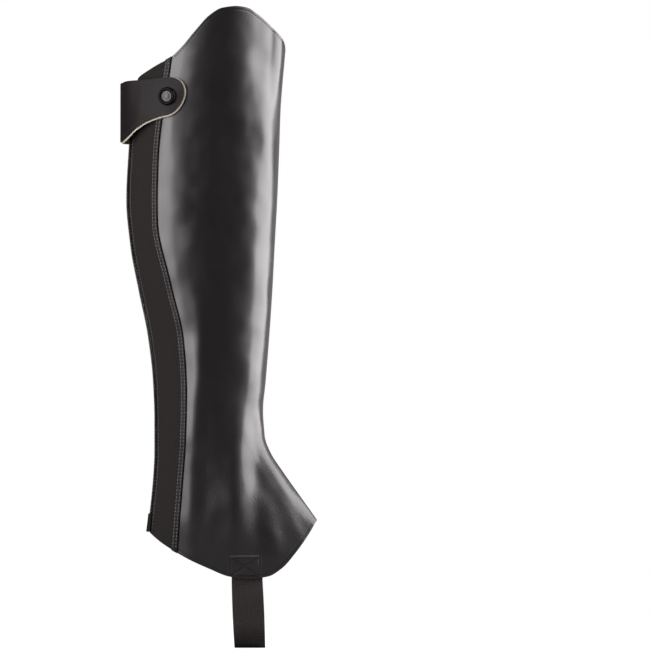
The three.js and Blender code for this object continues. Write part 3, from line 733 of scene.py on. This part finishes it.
# --- Inner vamp ---------------------------------------------------------------------
# The separate leather of the inner side of the foot. Its domed top corner and its front
# edge are tucked under the shin panel and sewn down with one row of black thread.

vamp_cut = Cut(
    [
        (from_front(-LAP), 0),
        (half_girth, 8),
        (from_front(VAMP_CORNER_RUN), 12),
        (inner_edge, 56),
    ],
    [(hem_edge, 0), (vamp_seam(0), 48), (vamp_seam(LAP), 4)],
)
inner_vamp = panel("inner_vamp", vamp_cut, 0, LEATHER)
inner_vamp.data.materials.append(black_leather)
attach(inner_vamp, "chap")
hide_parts("vamp_inner_leather")

thread, thread_shader, _ = new_finish("black_thread", rgb(30, 28, 28), 0.6)
thread_shader.inputs["Specular IOR Level"].default_value = 0.2
# The light grey of this thread is a painted highlight: the thread is black, drawn grey so its stitches show
# as lit dashes.
painted_highlight_thread = new_finish("painted_highlight_thread", rgb(134, 128, 129), 0.6)[0]
tab_thread = new_finish("tab_thread", rgb(58, 54, 55), 0.6)[0]


def repeated(unit, places):
    """Copies of one small shape, each moved by its matrix, as one joined mesh."""
    shape = bpy.data.meshes.new("unit")
    unit.to_mesh(shape)
    unit.free()
    corners = np.ones((len(shape.vertices), 4))
    corners[:, :3] = [v.co for v in shape.vertices]
    many = bmesh.new()
    for _ in places:
        many.from_mesh(shape)
    bpy.data.meshes.remove(shape)
    moved = np.concatenate([corners @ np.array(matrix).T for matrix in places])
    for vertex, point in zip(many.verts, moved, strict=True):
        vertex.co = point[:3]
    return many


def sew(name, rows, pitch=2.9, length=2.2, thick=0.42, finish=thread):
    """Rows of lock stitches: each row is points and outward normals along its line."""
    places = []
    for points, normals in rows:
        run = np.concatenate([[0], np.cumsum(np.linalg.norm(np.diff(points, axis=0), axis=1))])
        count = max(1, int(run[-1] / pitch))
        centres = (np.arange(count) + 0.5) * run[-1] / count
        for centre in centres:
            ends = [
                np.array([np.interp(centre + way * length / 2, run, points[:, k]) for k in range(3)])
                for way in (-1, 1)
            ]
            normal = Vector([np.interp(centre, run, normals[:, k]) for k in range(3)]).normalized()
            along = Vector(ends[1] - ends[0])
            middle = Vector((ends[0] + ends[1]) / 2) * MM
            side = normal.cross(along).normalized()
            normal = along.cross(side).normalized()
            turn = Matrix((along.normalized(), side, normal)).transposed().to_4x4()
            size = Matrix.Diagonal((length / 2 * MM, thick / 2 * MM, thick / 2 * MM, 1))
            places.append(Matrix.Translation(middle) @ turn @ size)
    stitch = bmesh.new()
    bmesh.ops.create_uvsphere(
        stitch, u_segments=8, v_segments=6, radius=1, matrix=Matrix.Rotation(math.pi / 2, 4, "Y")
    )
    piece = hang(name, repeated(stitch, places))
    piece.data.materials.append(finish)
    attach(piece, "chap")
    return piece


def on_form(z, d, offset):
    """Points and normals along a line on the form."""
    z, d = np.broadcast_arrays(np.asarray(z, float), np.asarray(d, float))
    return skin(z, d, np.full(z.shape, float(offset))), outward(z, d)


def along_edge(cut, edge, first, last, rise, offset):
    """A line that keeps a distance above one of a panel's edges."""
    columns = np.linspace(first, last, 240)
    z = np.interp(columns, np.arange(cut.across + 1), cut.edges[edge]) + rise
    return on_form(z, cut.distance(columns, z), offset)


def front_seam(offset_in):
    """The stitch line beside the front edge of the shin panel, and over the vamp's dome."""
    lowest = shin_cut.edges[0][SHIN_FRONT] + 2
    z = np.linspace(lowest, VAMP_TOP - VAMP_CORNER + offset_in, 160)
    d = half_girth(z) - offset_in
    columns = np.linspace(SHIN_FRONT, shin_cut.across, 200)
    seam = np.interp(columns, np.arange(shin_cut.across + 1), shin_cut.edges[1]) + offset_in
    z = np.concatenate([z, seam])
    d = np.concatenate([d, shin_cut.distance(columns, seam)])
    return on_form(z, d, LEATHER + SEAM_GAP + 0.05)


sew("front_seam_stitches", [front_seam(2.4)])
sew(
    "hem_stitches",
    [
        along_edge(shin_cut, 0, 3, SHIN_FRONT - 1, EDGE_STITCH, 0.1),
        along_edge(vamp_cut, 0, 8, vamp_cut.across - 1, EDGE_STITCH, 0.1),
    ],
)
sew("top_stitches", [along_edge(shin_cut, 2, 3, shin_cut.across - 1, -EDGE_STITCH, 0.1)])


# --- Gore and its strip -------------------------------------------------------------
# A full-height gore of black ribbed elastic, 1.2 mm, beside the zip. Where it meets the
# shin panel a narrow leather strip covers the seam, sewn down with two rows of thread.

ELASTIC = 1.2


def ribbed_elastic(name, colour, rib, rounds):
    """Knitted elastic: fine ribs along the piece, and small rounds of rubber across it."""
    made, shader, start = new_finish(name, colour, 0.85)
    cut = start.node("UVMap", {"uv_map": "cut"})
    ribs = (cut.axis("X") * (2 * math.pi / (rib * MM))).sine()
    rings = (cut.axis("Y") * (2 * math.pi / (rounds * MM))).sine()
    fuzz = cut.noise(1400, 3)
    height = ribs * 0.3 + rings * 0.2 + fuzz * 0.5 + 0.5
    lighter = tuple(1.9 * c for c in colour[:3]) + (1,)
    feed(shader, normal=bump(height, 0.22), base_color=height.ramp(0.5, 1.3).blend(colour, lighter))
    return made


gore_elastic = ribbed_elastic("gore_elastic", rgb(22, 17, 16), 1.5, 1.1)
gore_cut = Cut(
    [(from_zip(ZIP_OPENING), 0), (lambda z: strip_back(z) + 2.6, 24)],
    [(hem_edge, 0), (top_edge, 170)],
)
gore = panel("gore", gore_cut, -SEAM_GAP, ELASTIC)
gore.data.materials.append(gore_elastic)
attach(gore, "chap")
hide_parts("gore_elastic")

strip_leather, strip_shader, _ = smooth_leather("strip_leather", rgb(18, 15, 16), 0.5, 0.03)
strip_shader.inputs["Specular IOR Level"].default_value = 0.35
STRIP_ROWS = (1.3, 4.2)
strip_cut = Cut(
    [(strip_back, 0), (lambda z: strip_back(z) + STRIP_WIDTH, 16)],
    [(hem_edge, 0), (top_edge, 190)],
)


def strip_crown(z, d, column):
    """The strip is pulled in under its two rows of stitches and thins at its edges."""
    across = d - strip_back(z)
    pulled = sum(np.exp(-(((across - row) / 0.45) ** 2)) for row in STRIP_ROWS)
    return LEATHER + 0.1 - 0.32 * pulled - 0.4 * (2 * across / STRIP_WIDTH - 1) ** 8


gore_strip = panel("gore_strip", strip_cut, strip_crown, 1.15)
gore_strip.data.materials.append(strip_leather)
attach(gore_strip, "chap")
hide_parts("gore_seam_strip")

strip_z = np.linspace(strip_cut.edges[0].max() + 1.5, strip_cut.edges[1].min() - 1.5, 260)
strip_stitches = sew(
    "strip_stitches",
    [on_form(strip_z, strip_back(strip_z) + row, LEATHER - 0.1) for row in STRIP_ROWS],
    pitch=3.1, length=2.1, thick=0.7, finish=painted_highlight_thread,
)  # fmt: skip


# --- Zip ----------------------------------------------------------------------------
# A closed zip down the back: two woven tapes, moulded teeth in two interlocked rows, and
# a gunmetal slider with its pull at the top.

TAPE = 1.2
SLIDER_Z, SLIT, ZIP_STITCH = 94.0, 2.0, 4.5
tape_cloth, tape_shader, start = new_finish("zip_tape", rgb(28, 26, 26), 0.8)
cut_map = start.node("UVMap", {"uv_map": "cut"})
weft = cut_map.axis("Y") * (2 * math.pi / (0.7 * MM))
warp = cut_map.axis("X") * (2 * math.pi / (0.9 * MM))
weave = weft.sine() * warp.sine()
feed(tape_shader, normal=bump(weave * 0.5 + 0.5, 0.1))


def slit(z):
    return SEAM_GAP / 2 + SLIT * ease((z - SLIDER_Z + 6) / 8)


for side_name in ("outer", "inner"):
    if side_name == "inner":
        edge_lines = [
            (lambda z: 2 * half_girth(z) - TAPE_WIDTH, 0),
            (lambda z: 2 * half_girth(z) - slit(z), 6),
        ]
    else:
        edge_lines = [(slit, 0), (from_zip(TAPE_WIDTH), 6)]
    tape_cut = Cut(edge_lines, [(hem_edge, 0), (top_edge, 150)])
    tape = panel("tape_" + side_name, tape_cut, -TAPE_DEPTH, TAPE)
    tape.data.materials.append(tape_cloth)
    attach(tape, "chap")
    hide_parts("zip_tape_" + side_name)

teeth_plastic = new_finish("zip_teeth", rgb(30, 28, 28), 0.38)[0]
TOOTH_PITCH, TOOTH_EDGE, TEETH_BELOW_SLIDER = 3.0, 0.3, 9.0
TOOTH_SIZE = (3.0 * MM, 3.4 * MM, 1.48 * MM, 1)
ZIP_BOTTOM = float(gore_cut.edges[0][0]) + 15
tooth_places = []
for k in range(int((SLIDER_Z - TEETH_BELOW_SLIDER - ZIP_BOTTOM) / TOOTH_PITCH * 2)):
    level = ZIP_BOTTOM + k * TOOTH_PITCH / 2
    side = 1 if k % 2 else -1
    centre, _, _ = place(np.array([level]), np.array([0.0]))
    away = outward(np.array([level]), np.array([0.0]))[0]
    turn = Matrix.Rotation(math.atan2(away[2], -away[0]), 4, "Y")
    middle = Vector(centre[0] + away * -0.1 + np.array([0, side * 1.1, 0])) * MM
    tooth_places.append(Matrix.Translation(middle) @ turn)
tooth = bmesh.new()
bmesh.ops.create_cube(tooth, size=1, matrix=Matrix.Diagonal(TOOTH_SIZE))
bmesh.ops.bevel(
    tooth, geom=tooth.edges[:], offset=TOOTH_EDGE * MM, segments=1, profile=0.5, affect="EDGES", material=-1
)
zip_teeth = hang("zip_teeth", repeated(tooth, tooth_places))
zip_teeth.data.materials.append(teeth_plastic)
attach(zip_teeth, "chap")

gunmetal, metal_shader, start = new_finish("gunmetal", rgb(70, 69, 72), 0.3, metallic=1.0)
where = start.node("TexCoord", {}, {}, "Object")
scuffs = where.noise(700, 4)
feed(metal_shader, roughness=scuffs.ramp(0.3, 0.7, 0.22, 0.4))
for name in ("zip_slider", "zip_pull", "snap_stud"):
    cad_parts[name].data.materials.clear()
    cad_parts[name].data.materials.append(gunmetal)

back_z = np.linspace(float(gore_cut.edges[0][0]) + 4, float(gore_cut.edges[1][0]) - 4, 200)
sew(
    "zip_stitches",
    [
        on_form(back_z, np.full(back_z.shape, ZIP_OPENING + ZIP_STITCH), -0.2),
        on_form(back_z, 2 * half_girth(back_z) - ZIP_OPENING - ZIP_STITCH, 0.1),
    ],
    finish=painted_highlight_thread,
)


# --- Zip guard ----------------------------------------------------------------------
# A small piece of leather folded over the bottom end of the zip. It covers the lowest
# tooth and the ends of both tapes.

GUARD, GUARD_HALF, GUARD_HEIGHT, GUARD_ARCH = 1.3, 11.0, 16.0, 0.7


def guard_offset(z, d, column):
    arch = GUARD_ARCH * ease((1 - np.abs(d) / GUARD_HALF) * 2)
    return SEAM_GAP + 0.1 + arch + GUARD


guard_bottom = root(lambda z: z - hem_height(place(z, np.zeros(1))[0][..., 0]), *HEM_SPAN, (1,))[0]
guard_cut = Cut(
    [(from_zip(-GUARD_HALF), 0), (from_zip(GUARD_HALF), 20)],
    [
        (lambda cut, columns: np.full(columns.shape, guard_bottom), 0),
        (lambda cut, columns: np.full(columns.shape, guard_bottom + GUARD_HEIGHT), 12),
    ],
)
zip_guard = panel("zip_guard", guard_cut, guard_offset, GUARD)
zip_guard.data.materials.append(strip_leather)
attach(zip_guard, "chap")
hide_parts("zip_end_guard")


# --- Snap tab -----------------------------------------------------------------------
# A leather tab on a beige backing, its edge left raw. It is sewn to the inner leather,
# stands off over the top of the zip and snaps down on the outer side.

# distance from the zip, lower edge, upper edge, stand-off, share of the lean left out
TAB = np.array(
    [
        (-40, 53, 98, 0.4, 0),
        (-34, 52, 98.5, 0.4, 0),
        (-27, 51, 99, 1.2, 0.2),
        (-18, 50, 99.5, 4.6, 0.7),
        (-8, 50, 100, 7.8, 1),
        (0, 50, 100.5, 8.6, 1),
        (8, 50.5, 101, 9, 1),
        (18, 54, 102.8, 8.8, 0.9),
        (29, 62, 104, 6.8, 0.5),
        (39, 68, 105, 4.7, 0.1),
        (48, 71.5, 106, 3.9, 0),
        (58, 74.5, 107.2, 3.6, 0),
        (65, 77.5, 106.2, 3.1, 0),
        (69.5, 82, 102.5, 2.6, 0),
        (72, 87.5, 97.5, 2.2, 0),
    ]
)
TAB_LEVEL, TAB_LEATHER, TAB_BACKING = 76.0, 1.4, 1.0
tab_low, tab_high, tab_off, tab_fold = (fair_curve(TAB[:, 0], TAB[:, k]) for k in range(1, 5))
TAB_ROOT, TAB_LENGTH, TAB_DEPTH = -40.0, 112.0, 50.0
TIP_START, TIP_REACH, TIP_MIDDLE, TIP_SHARE = 54.8, 15.4, 92.4, 0.78


def tab_point(u, v, offset, wider=0.0):
    """A point of the tab: u from its root to its tip, v from its lower to its upper edge."""
    turn = np.clip((u - TIP_SHARE) / (1 - TIP_SHARE), 0, 1) * math.radians(86)
    reach = TIP_REACH + wider
    straight = mix(TAB_ROOT, TIP_START, u / TIP_SHARE)
    at = np.where(u < TIP_SHARE, straight, TIP_START + reach * np.sin(turn))
    share = (at - TIP_START) / reach
    drop = np.where(at > TIP_START, (1 - np.clip(share, 0, 1) ** 1.9) ** 0.54, 1)
    rise = np.where(at > TIP_START, (1 - np.clip(share, 0, 1) ** 2.5) ** 0.5, 1)
    before_tip = np.minimum(at, TIP_START)
    low = TIP_MIDDLE - (TIP_MIDDLE - tab_low(before_tip) + wider) * drop
    high = TIP_MIDDLE + (tab_high(before_tip) - TIP_MIDDLE) * rise
    z = mix(low, high, v)
    lean = tab_fold(at) * (leg_back(z) - leg_back(TAB_LEVEL))
    point, _, _ = place(z, at)
    return point + outward(z, at, 1.0) * (tab_off(at) + lean + offset)[..., None]


def tab_layer(name, offset, thick, wider=0.0):
    grid, u, v = flat_grid(70, 22)
    lay(grid, tab_point(u, v, offset + thick, wider), cut=(u * TAB_LENGTH * MM, v * TAB_DEPTH * MM))
    return hang(name, grid, thick)


tab_leather, tab_shader, _ = smooth_leather("tab_leather", rgb(24, 18, 19), 0.55, 0.02)
tab_shader.inputs["Specular IOR Level"].default_value = 0.26
tab_top = tab_layer("tab_leather", TAB_BACKING + SEAM_GAP, TAB_LEATHER)
tab_top.data.materials.append(tab_leather)
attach(tab_top, "chap")
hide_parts("snap_tab_leather")

beige_backing, backing_shader, start = new_finish("beige_backing", rgb(222, 210, 190), 0.9)
where = start.node("TexCoord", {}, {}, "Object")
fibre = where.noise(1200, 4)
feed(
    backing_shader,
    normal=bump(fibre, 0.2),
    base_color=fibre.ramp(0.3, 0.75).blend(rgb(228, 218, 200), rgb(248, 241, 227)),
)
tab_under = tab_layer("tab_backing", 0, TAB_BACKING, 1.2)
tab_under.data.materials.append(beige_backing)
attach(tab_under, "chap")
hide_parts("snap_tab_backing")


def tab_line(u, v):
    """Points and normals on the face of the tab."""
    offset = TAB_BACKING + SEAM_GAP + TAB_LEATHER + 0.06
    points = tab_point(u, v, offset)
    return points, tab_point(u, v, offset + 1) - points


edge_run = np.linspace(0.02, 0.9, 160)
tab_tip = 0.9 + 0.05 * np.sin(np.linspace(0, math.pi, 40))
sew(
    "tab_stitches",
    [
        tab_line(edge_run, np.full(edge_run.shape, 0.93)),
        tab_line(edge_run, np.full(edge_run.shape, 0.07)),
        tab_line(tab_tip, np.linspace(0.93, 0.07, 40)),
        tab_line(np.full(30, 0.03), np.linspace(0.08, 0.92, 30)),
    ],
    finish=tab_thread,
)


# --- Snap ---------------------------------------------------------------------------
# A pressed gunmetal cap, 16 mm across, with a rolled rim round a plain domed face. It is
# set through both layers of the tab and snaps over the stud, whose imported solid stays.

SNAP_ALONG, SNAP_Z, SNAP_RADIUS = 56.4, 90.2, 8.0
CAP_SEAT = TAB_BACKING + SEAM_GAP + TAB_LEATHER + 0.4
snap_place = place(np.array([SNAP_Z]), np.array([SNAP_ALONG]))[0][0]
snap_out = outward(np.array([SNAP_Z]), np.array([SNAP_ALONG]))[0]
lean = -math.atan((float(tab_off(SNAP_ALONG + 6)) - float(tab_off(SNAP_ALONG - 6))) / 12)
snap_axis = Matrix.Rotation(lean, 3, "Z") @ Vector(snap_out)
snap_seat = Vector(snap_place + snap_out * float(tab_off(SNAP_ALONG))) * MM
snap_turn = Matrix.Translation(snap_seat) @ snap_axis.to_track_quat("Z", "X").to_matrix().to_4x4()


def turned(name, outline, material):
    """A turned piece on the snap's axis, from radii and heights in millimetres."""
    ring = bmesh.new()
    corners = [ring.verts.new((radius * MM, 0, height * MM)) for radius, height in outline]
    for first, second in zip(corners, corners[1:]):
        ring.edges.new((first, second))
    bmesh.ops.spin(
        ring, geom=ring.verts[:] + ring.edges[:], angle=2 * math.pi, steps=64,
        axis=(0, 0, 1), cent=(0, 0, 0), use_merge=True,
    )  # fmt: skip
    bmesh.ops.remove_doubles(ring, verts=ring.verts[:], dist=1e-6)
    bmesh.ops.recalc_face_normals(ring, faces=ring.faces[:])
    bmesh.ops.transform(ring, matrix=snap_turn, verts=ring.verts[:])
    piece = hang(name, ring)
    piece.data.materials.append(material)
    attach(piece, "chap")
    return piece


dark_gunmetal = new_finish("dark_gunmetal", rgb(30, 29, 30), 0.4, metallic=1.0)[0]
bright_face = new_finish("snap_face", rgb(82, 80, 81), 0.46, metallic=1.0)[0]
cap_ring = turned(
    "snap_cap_ring",
    [
        (0, CAP_SEAT), (SNAP_RADIUS - 0.3, CAP_SEAT), (SNAP_RADIUS, CAP_SEAT + 0.3),
        (SNAP_RADIUS, CAP_SEAT + 0.9), (SNAP_RADIUS - 0.15, CAP_SEAT + 1.5),
        (SNAP_RADIUS - 0.6, CAP_SEAT + 2.1), (SNAP_RADIUS - 1.2, CAP_SEAT + 2.5),
        (SNAP_RADIUS - 1.7, CAP_SEAT + 2.6), (SNAP_RADIUS - 2.2, CAP_SEAT + 2.45),
        (SNAP_RADIUS - 2.6, CAP_SEAT + 2.1), (SNAP_RADIUS - 2.8, CAP_SEAT + 1.6),
        (SNAP_RADIUS - 3.0, CAP_SEAT + 1.4), (0, CAP_SEAT + 1.4),
    ],
    dark_gunmetal,
)  # fmt: skip
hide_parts("snap_cap")
cap_face = turned(
    "snap_cap_face",
    [
        (4.95, CAP_SEAT + 1.45), (4.7, CAP_SEAT + 1.75), (4.3, CAP_SEAT + 1.85),
        (4.0, CAP_SEAT + 1.7), (3.7, CAP_SEAT + 1.72), (2.6, CAP_SEAT + 2.05),
        (1.4, CAP_SEAT + 2.25), (0, CAP_SEAT + 2.3),
    ],
    bright_face,
)  # fmt: skip


# --- Lining -------------------------------------------------------------------------
# Tan pigskin with a short nap, 1 mm, inside all the leather. It bows inward over the ends
# of the foot strap, which are sewn in between leather and lining.

LINING = 1.0
STRAP_X, STRAP_WIDTH, STRAP, STRAP_TUCK = 39.5, 27.0, 1.6, 20.0
HEM_AT_STRAP = float(hem_height(STRAP_X))


def lining_offset(z, d, column):
    x = place(z, d)[0][..., 0]
    beside = ease((16 - (np.abs(x - STRAP_X) - STRAP_WIDTH / 2)) / 8)
    above = ease((16 - (z - HEM_AT_STRAP - STRAP_TUCK)) / 8)
    return -LEATHER - SEAM_GAP - (STRAP + 0.5) * beside * above


tan_lining, lining_shader, start = new_finish("tan_lining", rgb(176, 146, 122), 0.9)
lining_shader.inputs["Sheen Weight"].default_value = 0.2
where = start.node("TexCoord", {}, {}, "Object")
nap = where.noise(900, 5, Roughness=0.7)
patches = where.noise(45, 3)
tone = (nap * 0.5 + patches * 0.5).ramp(0.35, 0.65)
feed(
    lining_shader,
    normal=bump(nap, 0.25),
    base_color=tone.blend(rgb(160, 130, 106), rgb(190, 161, 137)),
)
lining_cut = Cut(
    [(shin_back, 0), (half_girth, 44), (lambda z: 2 * half_girth(z) - TAPE_WIDTH - SEAM_GAP, 44)],
    [(hem_edge, 0), (top_edge, 120)],
)
lining = panel("lining_cloth", lining_cut, lining_offset, LINING)
lining.data.materials.append(tan_lining)
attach(lining, "chap")
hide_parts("lining")


# --- Foot strap ---------------------------------------------------------------------
# Black ribbed elastic webbing, 27 mm wide, sewn in between leather and lining on both
# sides of the foot and passing under the boot in a loose loop.

STRAP_OFFSET, STRAP_BOTTOM, STRAP_SPREAD = -LEATHER - 0.4, -394.0, 26.0
STRAP_CORNER, STRAP_SETTLE = 22.0, 14.0
STRAP_SWAY, STRAP_BOW = 2.4, 0.6
strap_free = fair_curve(
    [STRAP_BOTTOM, HEM_AT_STRAP - 20, HEM_AT_STRAP - 4],
    [STRAP_SPREAD - 0.5, STRAP_SPREAD, STRAP_SPREAD - 1.5],
)
STRAP_TURN = STRAP_BOTTOM + STRAP_CORNER


def side_angle(z, x):
    """The angle round the form of a place seen from the side."""
    return root(lambda a: leg_outline(z, a)[0] - x, 0, math.pi, np.shape(x))


def half_width_at(z, x):
    return leg_outline(z, side_angle(z, x))[1]


def strap_leg(x, z):
    """How far a leg of the strap lies from the middle of the leg."""
    level = np.maximum(z, HEM_AT_STRAP)
    slope_x = (half_width_at(level, x + 1) - half_width_at(level, x - 1)) / 2
    slope_z = (half_width_at(level + 1, x) - half_width_at(level - 1, x)) / 2
    leaving = half_width_at(level, x) + STRAP_OFFSET * np.sqrt(1 + slope_x**2 + slope_z**2)
    return mix(leaving, strap_free(z), ease(np.maximum(0, HEM_AT_STRAP - z) / STRAP_SETTLE))


SEWN_ROWS, TURN_ROWS = 26, 16
drop = np.linspace(HEM_AT_STRAP + STRAP_TUCK, STRAP_TURN, SEWN_ROWS + 1)
bend = np.linspace(0, math.pi / 2, TURN_ROWS + 1)[1:]
row_z = np.concatenate([drop, np.full(TURN_ROWS, STRAP_TURN)])
row_turn = np.concatenate([np.zeros(SEWN_ROWS + 1), bend])
row_z = np.concatenate([row_z, row_z[::-1]])
row_turn = np.concatenate([row_turn, row_turn[::-1]])
row_side = np.repeat([-1.0, 1.0], SEWN_ROWS + 1 + TURN_ROWS)
rows = len(row_z) - 1
strap_grid, u, v = flat_grid(8, rows)
x = STRAP_X + STRAP_WIDTH * (0.5 - u)
row = np.round(v * rows).astype(int)
z = row_z[row] - STRAP_CORNER * np.sin(row_turn[row])
out = row_side[row] * (strap_leg(x, row_z[row]) - STRAP_CORNER * (1 - np.cos(row_turn[row])))
hung = np.clip((HEM_AT_STRAP - z) / (HEM_AT_STRAP - STRAP_BOTTOM), 0, 1)
bow = STRAP_BOW * np.sin(math.pi * hung) * ease(0.5 + out / (2 * STRAP_SPREAD))
points = np.stack([x + STRAP_SWAY * hung**1.5 + bow, out, z], axis=-1)
run = np.zeros(rows + 1)
centre_line = points[np.isclose(x, STRAP_X)]
centre_line = centre_line[np.argsort(row[np.isclose(x, STRAP_X)])]
run[1:] = np.cumsum(np.linalg.norm(np.diff(centre_line, axis=0), axis=1))
lay(strap_grid, points, cut=(x * MM, run[row] * MM))
foot_strap = hang("strap_webbing", strap_grid, STRAP)
foot_strap.data.materials.append(ribbed_elastic("strap_elastic", rgb(33, 27, 27), 1.1, 1.6))
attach(foot_strap, "chap")
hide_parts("foot_strap")


# --- Strap stitching ----------------------------------------------------------------
# A box with a cross in it, sewn through leather, strap and lining on each side, with a
# dense bar tack along its top.

TACK_RISE, TACK_DROP, TACK_PITCH = 1.6, 0.8, 0.75
tack_thread = new_finish("tack_thread", rgb(70, 66, 66), 0.6)[0]


def seen_line(corners, offset, inner=False, count=60):
    """A line through places seen from the side, laid on the leather."""
    corners = np.asarray(corners, float)
    run = np.linspace(0, len(corners) - 1, count)
    x = np.interp(run, np.arange(len(corners)), corners[:, 0])
    z = np.interp(run, np.arange(len(corners)), corners[:, 1])
    angle = side_angle(z, x)
    row = np.clip(np.round(z - LEVELS[0]).astype(int), 0, len(LEVELS) - 1)
    d = np.array([np.interp(a, ANGLES, ARCS[r]) for a, r in zip(angle, row, strict=True)])
    if inner:
        d = 2 * half_girth(z) - d
    return on_form(z, d, offset)


for side_name, inner in (("outer", False), ("inner", True)):
    box = [(BOX_LEFT, BOX_TOP), (BOX_RIGHT, BOX_TOP), (BOX_RIGHT, BOX_FOOT), (BOX_LEFT, BOX_FOOT)]
    box_rows = [seen_line([box[k], box[(k + 1) % 4]], 0.1, inner) for k in range(4)]
    box_rows += [seen_line([box[0], box[2]], 0.15, inner), seen_line([box[1], box[3]], 0.15, inner)]
    sew("box_stitches_" + side_name, box_rows, pitch=2.6, length=2.1, thick=0.5)
    tack = [
        seen_line([(x, BOX_TOP + TACK_RISE), (x, BOX_TOP - TACK_DROP)], 0.25, inner, 6)
        for x in np.arange(BOX_LEFT, BOX_RIGHT, TACK_PITCH)
    ]
    sew("bar_tack_" + side_name, tack, pitch=5, length=2.3, thick=0.7, finish=tack_thread)
